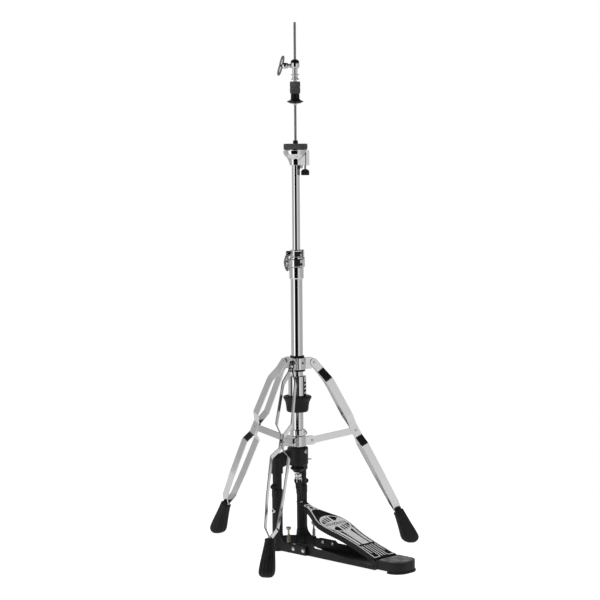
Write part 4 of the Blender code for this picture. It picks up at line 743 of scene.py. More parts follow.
def build_seat():
    low, high = span("seat_cup")
    outer = (high.x - low.x) / 2.0
    cup = lathe([(6.3, low.z), (outer - 4.0, low.z), (outer - 0.5, low.z + 1.2), (outer, high.z - 0.4),
                 (outer - 1.0, high.z), (6.3, high.z)], 0.6, 96, closed=True)
    piece("seat_dish", cup, "chrome", "seat", "seat_cup")
    felt_ring("seat_felt_pad", "seat_felt", "seat", 6.5, 11)
    low, high = span("seat_sleeve")
    sleeve = lathe([(5.3, low.z), (6.0, low.z), (6.0, high.z - 2.4), (5.8, high.z), (5.3, high.z)], 0.25,
                   48, closed=True)
    piece("seat_tube", sleeve, "plastic", "seat", "seat_sleeve")


# ---------------------------------------------------------------- rod and clutch
def build_rods():
    low, high = span("pull_rod_upper")
    piece("rod", lathe([(0.0, low.z), (ROD_R, low.z), (ROD_R, high.z - 6.0), (ROD_R, high.z - 0.9),
                        (ROD_R - 0.9, high.z), (0.0, high.z)], 0.3, 40),
          "rod", "pull_rod", "pull_rod_upper")
    low, high = span("pull_rod_lower")
    coupler = high.z - 24.0
    lower = [(0.0, low.z), (3.0, low.z), (3.0, coupler), (5.5, coupler), (5.5, high.z), (3.2, high.z),
             (3.2, high.z - 10.0), (0.0, high.z - 10.0)]
    piece("rod_lower", lathe(lower, 0.4, 32), "satin", "pull_rod", "pull_rod_lower")
    low, high = span("rod_connector")
    swivel = [(0.0, low.z), (7.4, low.z), (8.8, low.z + 1.6), (8.8, low.z + 4.2), (7.0, low.z + 5.6),
              (7.0, low.z + 6.6), (8.4, low.z + 7.4),
              (8.4, high.z), (3.4, high.z), (3.4, low.z + 3.4), (0.0, low.z + 3.4)]
    nut = prism(arc((0.0, 0.0), 9.0, 0.0, 300.0, 5), low.z + 7.6, high.z - 0.4, 0.5)
    piece("connector", joined(lathe(swivel, 0.6, 48), nut), "chrome", "pull_rod", "rod_connector")
    for side in (-1.0, 1.0):
        plate = arc((0.0, low.z - 4.0), 4.4, 180.0, 360.0, 8) + [(4.4, low.z + 1.0), (-4.4, low.z + 1.0)]
        fork = moved(prism(plate, side * 8.4 - 0.8, side * 8.4 + 0.8, 0.3),
                     turned(math.pi / 2.0, "Z") @ turned(math.pi / 2.0, "X"))
        piece("connector_fork", fork, "chrome", "pull_rod")


def build_clutch():
    low, high = span("clutch_body")
    cap_low, cap_high = span("clutch_cap")
    nut_top = span("clutch_lock_nut_upper")[1].z
    neck_top = high.z - 14.0
    body = lathe([(3.4, low.z), (4.6, low.z), (4.6, nut_top), (6.3, nut_top), (6.3, neck_top - 1.0),
                  (7.4, neck_top + 0.4), (9.8, neck_top + 2.2),
                  (11.2, neck_top + 5.4), (11.2, high.z - 3.4), (10.6, high.z), (3.4, high.z)], 1.4, 72,
                  closed=True)
    frame_out = lying(WING_AZIMUTH, (0.0, 0.0, JOINTS["clutch_wing_turn"]["pos_m"][2] / MM))
    collar = lathe([(2.7, 9.0), (5.4, 9.0), (5.4, 12.4), (4.6, 13.6), (2.7, 13.6)], 0.5, 32, closed=True)
    piece("clutch_barrel", body, "chrome", "clutch", "clutch_body")
    piece("clutch_collar", moved(collar, frame_out), "chrome", "clutch")
    cap = [(3.4, cap_low.z), (10.6, cap_low.z)]
    for i in range(1, 9):
        angle = math.pi / 2.0 * i / 9.0
        cap.append((3.6 + 7.0 * math.cos(angle), cap_low.z + (cap_high.z - cap_low.z) * math.sin(angle)))
    cap.append((3.4, cap_high.z))
    piece("clutch_dome", lathe(cap, 0.5, 64, closed=True), "gloss", "clutch", "clutch_cap")
    for label, flip in (("upper", 1.0), ("lower", -1.0)):
        low, high = span("clutch_lock_nut_" + label)
        middle = (low.z + high.z) / 2.0
        half = (high.z - low.z) / 2.0
        outline = [(4.7, -half), (6.8, -half), (7.0, -half * 0.2), (8.0, half * 0.2), (11.0, half * 0.72),
                   (11.0, half), (4.7, half)]
        outline = [(r, middle + z * flip) for r, z in outline]
        piece("clutch_nut_" + label, lathe(outline, 0.4, 64, closed=True), "chrome", "clutch",
              "clutch_lock_nut_" + label)
    felt_ring("clutch_pad_upper", "clutch_felt_upper", "clutch", 5.0, 21)
    felt_ring("clutch_pad_lower", "clutch_felt_lower", "clutch", 5.0, 31,
              groove=span("clutch_felt_lower")[0].z + 3.4)
    low, high = span("clutch_bottom_nut")
    flange = high.x
    nut = lathe([(4.7, low.z + 0.6), (7.0, low.z), (flange - 8.0, low.z + 0.8), (flange - 1.4, low.z + 4.2),
                 (flange, low.z + 5.4), (flange - 1.6, low.z + 6.6),
                 (13.6, low.z + 8.6), (11.2, low.z + 10.6), (10.6, low.z + 13.0), (10.6, high.z),
                 (4.7, high.z)], 1.6, 96, closed=True)
    piece("clutch_flange", nut, "gloss", "clutch", "clutch_bottom_nut")
    glint = lathe([(3.5, low.z - 2.6), (4.0, low.z - 2.6), (4.8, low.z - 1.0), (4.8, low.z + 4.0),
                   (3.5, low.z + 4.0)], 0.3, 40, closed=True)
    piece("clutch_thread_end", glint, "chrome", "clutch")
    bolt = wing_bolt(6.8, 7.2, 17.0, 7.4)
    wings = wing_ring(7.6, 22.6, 34.5, 2.3, 0.02)
    lean = at(0.0, 0.0, 33.0) @ turned(math.radians(15.0), "Y") @ at(0.0, 0.0, -33.0)
    piece("clutch_wing", moved(moved(wings, lean), frame_out @ turned(math.radians(90.0), "Z")), "wing",
          "clutch_wing")
    piece("clutch_wing_screw", moved(bolt, frame_out), "chrome", "clutch_wing", "clutch_wing_bolt")


def build_chain():
    """Double roller chain, link by link, straight down its tilt."""
    low, high = span("chain")
    pivot = joint_place("chain_swing")
    length = math.hypot(high.z - low.z, (high.y - low.y) - 5.0) - 4.0
    tilt = -math.asin(((high.y - low.y) - 5.0) / length)
    links = 8
    pitch = length / links
    parts = []
    for i in range(links):
        z = -pitch * i
        outer = i % 2 == 0
        half = 3.2 if outer else 2.8
        columns = (-8.0, -0.4, 0.4, 8.0) if outer else (-6.8, -1.5, 1.5, 6.8)
        outline = arc((0.0, z), half, 0.0, 180.0, 8) + arc((0.0, z - pitch), half, 180.0, 360.0, 8)
        for x in columns:
            plate = prism(outline, x - 0.45, x + 0.45, 0.15)
            parts.append(moved(plate, turned(math.pi / 2.0, "Z") @ turned(math.pi / 2.0, "X")))
    for i in range(links + 1):
        roller = peg(2.1, -6.2, 6.2, 0.2, 20)
        pin = lathe([(0.0, -8.4), (1.1, -8.4), (1.3, -8.0), (1.3, 8.0), (1.1, 8.4), (0.0, 8.4)], 0.2, 16)
        for part in (roller, pin):
            parts.append(moved(part, at(0.0, 0.0, -pitch * i) @ turned(math.pi / 2.0, "Y")))
    piece("roller_chain", moved(joined(*parts), at(0.0, pivot.y, pivot.z) @ turned(tilt, "X")), "chain",
          "chain", "chain", sharp=40.0)


# ---------------------------------------------------------------- tripod
KNEE = Vector((38.0, -46.0))
LEG_END = Vector((218.9, -384.1))
PINCH_SHARE = 0.376
STRIP_HALF = 9.5
STRIP_THICK = 2.5
FOOT_TONGUE = 24.0


def strip_stations():
    """Distance along a strip and its sideways offset from the leg's middle plane, bend by bend."""
    knee = KNEE.length
    pinch = knee + (LEG_END - KNEE).length * PINCH_SHARE
    end = knee + (LEG_END - KNEE).length
    return [(-STRIP_HALF, 5.2), (25.0, 5.2), (knee - 5.0, 15.2), (pinch - 44.0, 19.0), (pinch - 17.0, 3.4),
            (pinch + 17.0, 3.4),
            (pinch + 37.0, 21.5), (end - 100.0, 19.5), (end - 28.0, 14.6), (end - 7.5, 1.9),
            (end + FOOT_TONGUE, 1.65)]


def strip_point(distance, offset):
    """A point of a strip's centre line in the leg's frame: radial, sideways, up."""
    first = KNEE.normalized()
    second = (LEG_END - KNEE).normalized()
    bend = 9.0
    knee = KNEE.length
    if distance < knee - bend:
        flat = first * distance
    elif distance > knee + bend:
        flat = KNEE + second * (distance - knee)
    else:
        t = (distance - knee + bend) / (2.0 * bend)
        flat = (KNEE - first * bend) * (1 - t) ** 2 + KNEE * 2 * t * (1 - t) + (KNEE + second
            * bend) * t * t
    return Vector((flat.x, offset, flat.y))


def strip_mesh(side):
    """One bent strip with a rounded top end and softened edges."""
    stations = fillet([Vector(s) for s in strip_stations()], 2.6, 3)
    samples = []
    for before, after in zip(stations, stations[1:]):
        count = max(1, int((after.x - before.x) / 5.0))
        samples += [before.lerp(after, k / count) for k in range(count)]
    samples.append(stations[-1])
    start = [Vector((-STRIP_HALF * math.cos(math.pi / 2.0 * k / 7.0), samples[0].y)) for k in range(8)]
    samples = start + [s for s in samples if s.x > 0.5]
    centres = [strip_point(s.x, s.y * side) for s in samples]
    rings = []
    for i, (sample, centre) in enumerate(zip(samples, centres)):
        along = (centres[min(i + 1, len(centres) - 1)] - centres[max(i - 1, 0)]).normalized()
        flat = Vector((along.x, 0.0, along.z)).normalized()
        across = Vector((-flat.z, 0.0, flat.x))
        out = along.cross(across).normalized()
        width = STRIP_HALF
        if sample.x < 0.0:
            width = max(0.35, math.sqrt(max(STRIP_HALF ** 2 - sample.x ** 2, 0.0)))
        half = STRIP_THICK / 2.0
        soft = 0.5
        section = [(-width, -half + soft), (-width + soft, -half), (width - soft, -half),
                   (width, -half + soft),
                   (width, half - soft), (width - soft, half), (-width + soft, half), (-width, half - soft)]
        if width < 1.0:
            section = [(a / abs(a) * min(abs(a), width) if a else 0.0, b) for a, b in section]
        rings.append([centre + across * a + out * b for a, b in section])
    return loft(rings)


def leg_matrix(name):
    """Leg frame to column frame: X radial, Y sideways, Z up, at the leg's hinge."""
    place = joint_place("leg_hinge_" + name)
    return at(*place) @ turned(LEGS[name], "Z")


def sideways(place, side):
    """A fastener made up Z, laid along the leg's Y on one side."""
    return at(*place) @ turned(-side * math.pi / 2.0, "X")


def build_leg(name):
    body = "leg_" + name
    matrix = leg_matrix(name)
    pinch = KNEE.lerp(LEG_END, PINCH_SHARE)
    for label, side in (("a", 1.0), ("b", -1.0)):
        piece(f"strip_{name}_{label}", strip_mesh(side), "satin", body, f"leg_{name}_strip_{label}",
              matrix=matrix, sharp=28.0)
        hinge = moved(eyelet(3.4, 1.5, 1.5), sideways((0.0, side * 6.4, 0.0), side))
        middle = moved(eyelet(3.2, 1.4, 1.3), sideways((pinch.x, side * 4.6, pinch.y), side))
        piece(f"rivets_{name}_{label}", joined(hinge, middle), "satin", body, matrix=matrix)
    shank = moved(peg(2.8, -6.0, 6.0, 0.2, 24), turned(math.pi / 2.0, "X"))
    piece(f"hinge_pin_{name}", shank, "satin", body, matrix=matrix)
    build_foot(name, matrix)


FOOT_SECTIONS = [
    ((250.2, 78.5), (267.5, 86.8), 9.8), ((248.0, 75.0), (270.5, 86.6), 12.2),
    ((248.2, 72.2), (272.5, 84.0), 12.6),
    ((249.8, 70.6), (273.2, 81.8), 11.6), ((250.4, 68.0), (275.0, 79.6), 12.4),
    ((251.8, 64.0), (277.4, 75.0), 12.6),
    ((257.7, 45.6), (291.5, 51.0), 15.4), ((262.4, 28.0), (302.0, 34.0), 17.6),
    ((266.1, 14.0), (310.0, 20.0), 18.8),
    ((269.2, 8.6), (312.0, 13.0), 18.6), ((273.6, 4.6), (309.4, 6.6), 17.2),
    ((280.0, 1.6), (303.0, 1.8), 13.4), ((288.0, 0.3), (296.0, 0.2), 5.0),
]


def foot_ring(inner, outer, half, flute):
    hinge = joint_place("leg_hinge_rear")
    offset = Vector((hinge.y, hinge.z))
    low = Vector(inner) - offset
    high = Vector(outer) - offset
    centre = (low + high) / 2.0
    reach = (high - low) / 2.0
    points = []
    steps = 96
    for k in range(steps):
        angle = math.tau * k / steps
        c = math.cos(angle)
        s = math.sin(angle)
        c = math.copysign(abs(c) ** 0.86, c)
        s = math.copysign(abs(s) ** 0.86, s)
        groove = 1.0 - flute * max(0.0, math.cos(angle * 14.0)) ** 3
        flat = centre + reach * c * groove
        points.append((flat.x, half * s * groove, flat.y))
    return points


def build_foot(name, matrix):
    """Fluted rubber foot with a ribbed collar and a rounded, tilted sole."""
    rings = []
    for i, (lower, upper) in enumerate(zip(FOOT_SECTIONS, FOOT_SECTIONS[1:])):
        for k in range(5):
            t = k / 5.0
            inner = Vector(lower[0]).lerp(Vector(upper[0]), t)
            outer = Vector(lower[1]).lerp(Vector(upper[1]), t)
            half = lower[2] + (upper[2] - lower[2]) * t
            level = i + t
            flute = 0.0
            if 5.0 < level < 11.0:
                flute = 0.075 * min(1.0, (level - 5.0) * 1.5, (11.0 - level) * 1.5)
            rings.append(foot_ring(inner, outer, half, flute))
    last = FOOT_SECTIONS[-1]
    rings.append(foot_ring(Vector(last[0]), Vector(last[1]), last[2], 0.0))
    body = loft(rings)
    along = (LEG_END - KNEE).normalized()
    turn = math.atan2(along.y, along.x)
    pocket = box((-40.0, -3.3, -STRIP_HALF - 0.4), (FOOT_TONGUE - 4.0, 3.3, STRIP_HALF + 0.4), 0.0)
    pocket = moved(pocket, at(LEG_END.x, 0.0, LEG_END.y) @ turned(-turn, "Y"))
    piece("rubber_foot_" + name, cut(body, pocket), "rubber", "leg_" + name, "foot_" + name, matrix=matrix,
          sharp=50.0)


def lug(width, hinge, low, high, half):
    """Collar lug in the leg's own plane, round at the hinge, laid out in radial and up."""
    outline = [(15.5, low), (hinge.x - 7.0, low)] + arc((hinge.x, hinge.y), width, -60.0, 75.0,
                                                        12) + [(hinge.x - 6.0, high), (15.5, high)]
    plate = prism(outline, -half, half, 0.7)
    return moved(plate, turned(math.pi / 2.0, "X"))


def build_top_collar():
    low, high = span("top_collar")
    ring = lathe([(TUBE_R + 0.35, low.z), (18.6, low.z), (20.4, low.z + 1.4), (20.4, high.z - 1.4),
                  (18.6, high.z), (TUBE_R + 0.35, high.z)], 0.8, 96, closed=True)
    parts = [ring]
    hinge = Vector((math.hypot(*joint_place("leg_hinge_rear").xy), joint_place("leg_hinge_rear").z))
    for azimuth in LEGS.values():
        parts.append(moved(lug(8.6, hinge, low.z + 1.0, high.z - 1.0, 3.5), turned(azimuth, "Z")))
        for side in (-1.0, 1.0):
            rib = peg(1.9, low.z + 0.6, high.z - 0.6, 0.5, 24)
            parts.append(moved(moved(rib, at(18.6, side * 5.2, 0.0)), turned(azimuth, "Z")))
    piece("collar_top", joined(*parts), "chrome", "top_collar", "top_collar")
    for node, outer in (("top_collar_ring", 17.6), ("lower_collar_ring", 19.7)):
        low_r, high_r = span(node)
        bush = lathe([(TUBE_R + 0.3, low_r.z), (outer - 0.8, low_r.z), (outer, low_r.z + 1.0),
                      (outer, high_r.z - 1.0), (outer - 0.8, high_r.z), (TUBE_R + 0.3, high_r.z)],
                     0.6, 72, closed=True)
        piece(node + "_bush", bush, "plastic", "top_collar", node)
    screw_azimuth = (LEGS["left"] + LEGS["right"]) / 2.0
    middle = (low.z + high.z) / 2.0
    key = joined(lathe([(0.0, 17.0), (4.6, 17.0), (4.6, 21.4), (3.4, 22.6), (0.0, 22.6)], 0.5, 32),
                 box((-2.0, -2.0, 22.0), (2.0, 2.0, 27.0), 0.4))
    piece("collar_key_screw", moved(key, lying(screw_azimuth, (0.0, 0.0, middle))), "chrome", "top_collar")


def build_lower_collar():
    low, high = span("lower_collar")
    parts = [lathe([(TUBE_R + 0.35, low.z), (18.0, low.z), (19.2, low.z + 1.2), (19.2, high.z - 1.2),
                    (18.0, high.z), (TUBE_R + 0.35, high.z)], 0.7, 96, closed=True)]
    place = joint_place("brace_hinge_rear")
    pivot = Vector((math.hypot(*place.xy), place.z))
    for azimuth in LEGS.values():
        for side in (-1.0, 1.0):
            outline = [(14.8, pivot.y - 10.8)] + arc((pivot.x, pivot.y), 10.8, -90.0, 90.0,
                                                     20) + [(14.8, pivot.y + 10.8)]
            near = min(side * 1.9, side * 4.1)
            ear = moved(prism(outline, near, near + 2.2, 0.4), turned(math.pi / 2.0, "X"))
            parts.append(moved(ear, turned(azimuth, "Z")))
            head = moved(eyelet(3.6, 1.5, 1.6), sideways((pivot.x, side * 4.0, pivot.y), side))
            parts.append(moved(head, turned(azimuth, "Z")))
            rib = peg(2.2, low.z + 0.8, high.z - 0.8, 0.6, 24)
            parts.append(moved(moved(rib, at(17.4, side * 6.4, 0.0)), turned(azimuth, "Z")))
        pin = moved(peg(2.9, -4.0, 4.0, 0.2, 24), at(pivot.x, 0.0, pivot.y) @ turned(math.pi / 2.0, "X"))
        parts.append(moved(pin, turned(azimuth, "Z")))
    piece("collar_low", joined(*parts), "chrome", "tripod", "lower_collar")
    clamp = moved(box((-4.5, -7.5, 12.0), (6.5, 7.5, 19.6), 1.2),
                  lying(FRONT_AZIMUTH + 0.9, (0.0, 0.0, high.z + 9.6)))
    hole = moved(peg(3.0, 12.0, 30.0, 0.1, 24), lying(FRONT_AZIMUTH + 0.9, (0.0, 0.0, high.z + 9.6)))
    cuff = lathe([(TUBE_R + 0.35, high.z + 0.8), (17.2, high.z + 0.8), (17.6, high.z + 2.0),
                  (17.6, high.z + 14.0), (16.8, high.z + 15.0), (TUBE_R + 0.35, high.z + 15.0)], 0.6, 96,
                  closed=True)
    piece("collar_cuff", joined(cuff, cut(clamp, hole)), "chrome", "tripod")


def build_brace(name):
    place = joint_place("brace_hinge_" + name)
    hinge = joint_place("leg_hinge_" + name)
    pinch = KNEE.lerp(LEG_END, PINCH_SHARE)
    reach = Vector((math.hypot(*hinge.xy) + pinch.x - math.hypot(*place.xy), hinge.z + pinch.y - place.z))
    half = 8.25
    outline = arc((0.0, 0.0), half, 90.0, 270.0, 16) + arc((reach.length, 0.0), half, -90.0, 90.0, 16)
    plate = cut(prism(outline, -1.5, 1.5, 0.4), peg(3.2, -5.0, 5.0, 0.05, 24))
    slope = math.atan2(reach.y, reach.x)
    matrix = at(*place) @ turned(LEGS[name], "Z") @ turned(-slope, "Y") @ turned(math.pi / 2.0, "X")
    piece("brace_plate_" + name, plate, "satin", "brace_" + name, "brace_" + name, matrix=matrix)


# ---------------------------------------------------------------- spring tension
def build_tension():
    low, high = span("spring_sleeve")
    outer = high.x
    body = lathe([(TUBE_R + 0.3, high.z - 4.0), (TUBE_R + 0.3, high.z), (outer - 1.6, high.z),
                  (outer, high.z - 1.4), (outer, low.z), (outer - 2.0, low.z),
                  (outer - 2.0, high.z - 4.0)], 0.6, 120, closed=True)
    tools = []
    for k in range(2):
        azimuth = math.radians(-90.0 - 87.0 * k)
        slot_box = moved(box((-1.9, -60.0, 14.0), (1.9, 24.0, 40.0), 0.0),
                         lying(azimuth, (0.0, 0.0, (low.z + high.z) / 2.0)))
        tools.append(slot_box)
    for i in range(4):
        z = low.z + 2.0 + 9.6 * i
        tooth = [(-0.5, z), (8.0, z + 1.0), (12.5, z + 3.6), (12.0, z + 6.4), (6.0, z + 6.0),
                 (-0.5, z + 5.0)]
        tools.append(moved(prism(tooth, 12.0, 40.0, 0.0), turned(math.pi / 2.0, "X")))
    piece("tension_sleeve", cut(body, *tools), "chrome", "base", "spring_sleeve", sharp=30.0)
    # Near-black pipe seen through the sleeve's slots: painted shade where the inside falls in shadow, not a
    # real liner.
    slot_shade = pipe(TUBE_R + 0.5, TUBE_R + 3.6, low.z + 1.0, high.z - 4.2, 0.3, 64, closed=True)
    piece("tension_slot_shade", slot_shade, "dark", "base")
    low, high = span("tension_knob")
    z = low.z
    top = high.z
    lip = high.x
    outline = [(TUBE_R + 0.8, z), (23.6, z), (26.0, z + 1.6), (27.2, z + 7.0), (28.0, z + 16.0),
               (29.4, z + 24.0), (32.2, z + 30.0), (34.4, top - 6.0), (lip, top - 4.2),
               (34.0, top - 1.6), (31.0, top), (27.0, top - 0.8), (22.9, top - 2.4), (22.9, z + 4.0),
               (TUBE_R + 0.8, z + 4.0)]
    bm = lathe(outline, 2.0, 144, closed=True)
    for vert in bm.verts:
        r = math.hypot(vert.co.x, vert.co.y)
        if r > 23.6:
            turn = math.atan2(vert.co.y, vert.co.x)
            ease = min(1.0, (r - 23.6) / 3.0)
            shrink = 1.0 - 0.55 * ease / r * max(0.0, math.cos(turn * 12.0)) ** 2
            vert.co.x *= shrink
            vert.co.y *= shrink
    piece("tension_cup", bm, "rubber", "tension_knob", "tension_knob", sharp=60.0)
    low, high = span("lock_ring")
    ring = lathe([(TUBE_R + 0.3, low.z), (17.4, low.z), (18.4, low.z + 1.2), (18.4, high.z - 1.2),
                  (17.4, high.z), (TUBE_R + 0.3, high.z)], 0.6, 96, closed=True)
    azimuth = math.radians(-72.0)
    frame_out = lying(azimuth, (0.0, 0.0, (low.z + high.z) / 2.0))
    boss = moved(box((-5.4, -6.4, 14.5), (5.4, 6.4, 21.4), 1.2), frame_out)
    slit = moved(box((-0.8, -12.0, 14.0), (0.8, 12.0, 30.0), 0.0),
                 lying(azimuth + 0.9, (0.0, 0.0, (low.z + high.z) / 2.0)))
    piece("lock_ring_band", cut(ring, slit), "chrome", "base", "lock_ring")
    piece("lock_ring_boss", boss, "chrome", "base")
    piece("lock_ring_key", moved(moved(cap_screw(3.6, 3.6), at(0.0, 0.0, 21.2)), frame_out), "chrome",
          "base", "lock_ring_screw")
    knob_side = lying(azimuth + 0.62, (0.0, 0.0, (low.z + high.z) / 2.0))
    piece("lock_ring_eye", moved(moved(cap_screw(3.0, 3.0), at(0.0, 0.0, 17.6)), knob_side), "plastic",
          "base")


# ---------------------------------------------------------------- hub and posts
def hub_arm(post):
    rings = []
    levels = ((0.0, 17.0, 215.0, 255.0), (0.3, 17.0, 214.5, 253.5), (0.55, 15.6, 212.5, 249.0),
              (0.8, 13.6, 206.0, 243.5), (1.0, 12.2, 203.0, 240.0))
    across_arm = UP.cross(Vector((post.x, post.y, 0.0)).normalized())
    for reach, half, low, high in levels:
        points = []
        for k in range(24):
            angle = math.tau * k / 24.0
            c = math.copysign(abs(math.cos(angle)) ** 0.6, math.cos(angle))
            s = math.copysign(abs(math.sin(angle)) ** 0.6, math.sin(angle))
            flat = Vector((post.x, post.y, 0.0)) * reach + across_arm * (half * c)
            points.append((flat.x, flat.y, (low + high) / 2.0 + (high - low) / 2.0 * s))
        rings.append(points)
    return loft(rings)


def post_place(side):
    low, high = span("post_right")
    radius = (high.y - low.y) / 2.0
    return Vector((side * (low.x + radius), (low.y + high.y) / 2.0, 0.0))


def build_hub():
    low, high = span("hub_casting")
    hub_low = high.z - 44.5
    parts = [lathe([(0.0, hub_low), (23.0, hub_low), (25.4, hub_low + 3.0), (25.4, high.z - 2.0),
                    (23.8, high.z), (0.0, high.z)], 1.0, 96)]
    for side in (-1.0, 1.0):
        post = post_place(side)
        socket = lathe([(0.0, low.z), (14.4, low.z), (14.4, low.z + 40.0), (9.0, low.z + 49.0),
                        (0.0, low.z + 51.0)], 1.4, 64)
        parts += [hub_arm(post), moved(socket, at(post.x, post.y, 0.0))]
    body = cast(0.9, 6, *parts)
    tools = [peg(TUBE_R + 0.3, hub_low + 3.7, high.z + 9.0, 0.1, 72)]
    for side in (-1.0, 1.0):
        post = post_place(side)
        tools.append(moved(peg(11.7, low.z - 9.0, low.z + 30.0, 0.1, 48), at(post.x, post.y, 0.0)))
    piece("hub", cut(body, *tools), "casting", "base", "hub_casting", sharp=55.0)
    screw = moved(moved(cap_screw(4.6, 2.6), at(0.0, 0.0, 24.2)),
                  lying(FRONT_AZIMUTH + 0.86, (0.0, 0.0, high.z - 9.5)))
    piece("hub_screw", screw, "chrome", "base")
    eye_path = smooth_path([(3.2 * math.cos(a), 0.0,
                             30.5 + 3.2 * math.sin(a)) for a in [math.tau * k / 10 for k in range(10)]], 3,
                             closed=True)
    eye = joined(sweep(eye_path, round_section(0.9, 8), closed=True, up=Vector((0.0, 1.0, 0.0))),
                 peg(1.6, 22.0, 27.4, 0.3, 16))
    piece("hub_eye", moved(eye, lying(KNOB_AZIMUTH + 0.12, (0.0, 0.0, hub_low + 13.0))), "chrome", "base")
    low, high = span("rod_guide")
    guide = lathe([(ROD_R + 0.9, low.z), (10.4, low.z), (11.6, low.z + 3.0), (16.6, low.z + 7.4),
                   (18.6, low.z + 9.0), (18.6, low.z + 11.4), (16.0, low.z + 13.0),
                   (15.6, high.z), (ROD_R + 0.9, high.z)], 0.8, 72, closed=True)
    piece("guide", guide, "plastic", "base", "rod_guide")


def build_posts():
    for label, side in (("left", -1.0), ("right", 1.0)):
        post = post_place(side)
        centre = at(post.x, post.y, 0.0)
        low, high = span("post_" + label)
        piece("post_tube_" + label, moved(peg(11.3, low.z, high.z, 0.4, 64), centre), "casting", "base",
                                                 "post_" + label)
        low, high = span("post_sleeve_" + label)
        split = high.z
        outline = [(0.0, low.z), (12.9, low.z), (12.9, split - 22.0), (13.6, split - 18.0),
                   (13.6, split - 3.0), (12.4, split), (11.6, split), (11.6, split - 18.0),
                   (0.0, split - 18.0)]
        outward = 0.0 if side > 0.0 else math.pi
        tip = lathe([(0.0, 7.5), (8.0, 7.5), (7.6, 14.6), (6.4, 16.4), (5.2, 16.8), (5.0, 19.2),
                     (3.4, 20.2), (0.0, 20.2)], 0.5, 32)
        boss = moved(tip, lying(outward, (0.0, 0.0, split + 7.0)))
        slit = moved(box((-0.6, -13.0, 10.0), (0.6, 6.0, 30.0), 0.0),
                     lying(outward + 0.8, (0.0, 0.0, split - 6.0)))
        sleeve = cut(lathe(outline, 0.8, 72), slit)
        piece("post_sleeve_tube_" + label, moved(sleeve, centre), "casting", "base", "post_sleeve_" + label)
        piece("post_boss_" + label, moved(boss, centre), "casting", "base")
        bolt_place = lying(outward, (0.0, 0.0, 102.0))
        piece("post_bolt_" + label, moved(moved(moved(eyelet(6.2, 3.6, 2.8), at(0.0, 0.0, 12.7)),
                                                bolt_place), centre), "chrome", "base")
        piece("post_bolt_core_" + label,
              moved(moved(moved(cap_screw(2.5, 1.6), at(0.0, 0.0, 12.9)), bolt_place), centre), "plastic",
              "base")


# ---------------------------------------------------------------- base
def hoop_points(half, back):
    low, _ = span("base_hoop")
    spur = span("spur_right")
    spur_y = (spur[0].y + spur[1].y) / 2.0
    points = [(half, low.y, 0.0), (half, spur_y - 6.0, 0.0)]
    for i in range(25):
        angle = math.pi * i / 24.0
        points.append((half * math.cos(angle), 10.0 + back * math.sin(angle), 0.0))
    points += [(-half, spur_y - 6.0, 0.0), (-half, low.y, 0.0)]
    return [Vector(point) for point in points]


def build_hoop():
    low, high = span("base_hoop")
    line = hoop_points(45.5, 54.0)
    section = [(-4.5, low.z), (-4.5, low.z + 21.0), (-2.5, low.z + 23.0), (2.8, low.z + 22.0),
               (4.6, low.z + 19.0), (4.6, low.z + 1.0)]
    parts = [sweep(line, section)]
    for side in (-1.0, 1.0):
        post = post_place(side)
        foot = lathe([(0.0, low.z), (15.2, low.z), (15.0, low.z + 24.0), (13.4, high.z), (0.0, high.z)],
                     1.4, 64)
        parts.append(moved(foot, at(post.x, post.y, 0.0)))
        web = [(post.y + 4.0, low.z + 4.0), (post.y + 4.0, low.z + 66.0), (post.y - 10.0, low.z + 56.0),
               (post.y - 16.0, low.z + 36.0), (post.y - 28.0, low.z + 25.0),
               (post.y - 44.0, low.z + 20.0), (post.y - 60.0, low.z + 4.0)]
        plate = prism(fillet(web, 5.0, 4), side * 45.5 - 3.6, side * 45.5 + 3.6, 0.6)
        parts.append(moved(plate, turned(math.pi / 2.0, "Z") @ turned(math.pi / 2.0, "X")))
        spur_low, spur_high = span("spur_right")
        spur = Vector((side * (spur_low.x + spur_high.x) / 2.0, (spur_low.y + spur_high.y) / 2.0, 0.0))
        boss = lathe([(0.0, low.z + 4.0), (7.0, low.z + 4.0), (6.6, low.z + 26.0), (0.0, low.z + 26.0)],
                     1.0, 32)
        parts.append(moved(boss, at(spur.x, spur.y, 0.0)))
        rim = peg(16.6, low.z - 0.4, low.z + 5.0, 1.0, 48)
        parts.append(moved(rim, at(post.x, post.y, 0.0)))
    body = cast(0.9, 4, *parts)
    piece("hoop", body, "casting", "base", "base_hoop", sharp=55.0)
    for side in (-1.0, 1.0):
        for y in (-31.0, -64.0):
            face = 0.0 if side > 0.0 else math.pi
            outer = moved(moved(dome_head(4.3, 3.4), at(0.0, 0.0, 49.6)), lying(face, (0.0, y, 15.6)))
            inner = moved(eyelet(4.6, 2.4, 2.2), lying(face + math.pi, (side * 38.7, y - 16.0, 20.6)))
            piece("base_bolt", outer, "chrome", "base")
            piece("base_nut", inner, "chrome", "base")


def spring_coil(radius, wire, low, high, turns):
    path = []
    steps = 20
    for i in range(turns * steps + 1):
        turn = math.tau * i / steps
        share = i / (turns * steps)
        path.append(Vector((radius * math.cos(turn), radius * math.sin(turn), low + (high - low) * share)))
    return sweep(path, round_section(wire, 8))


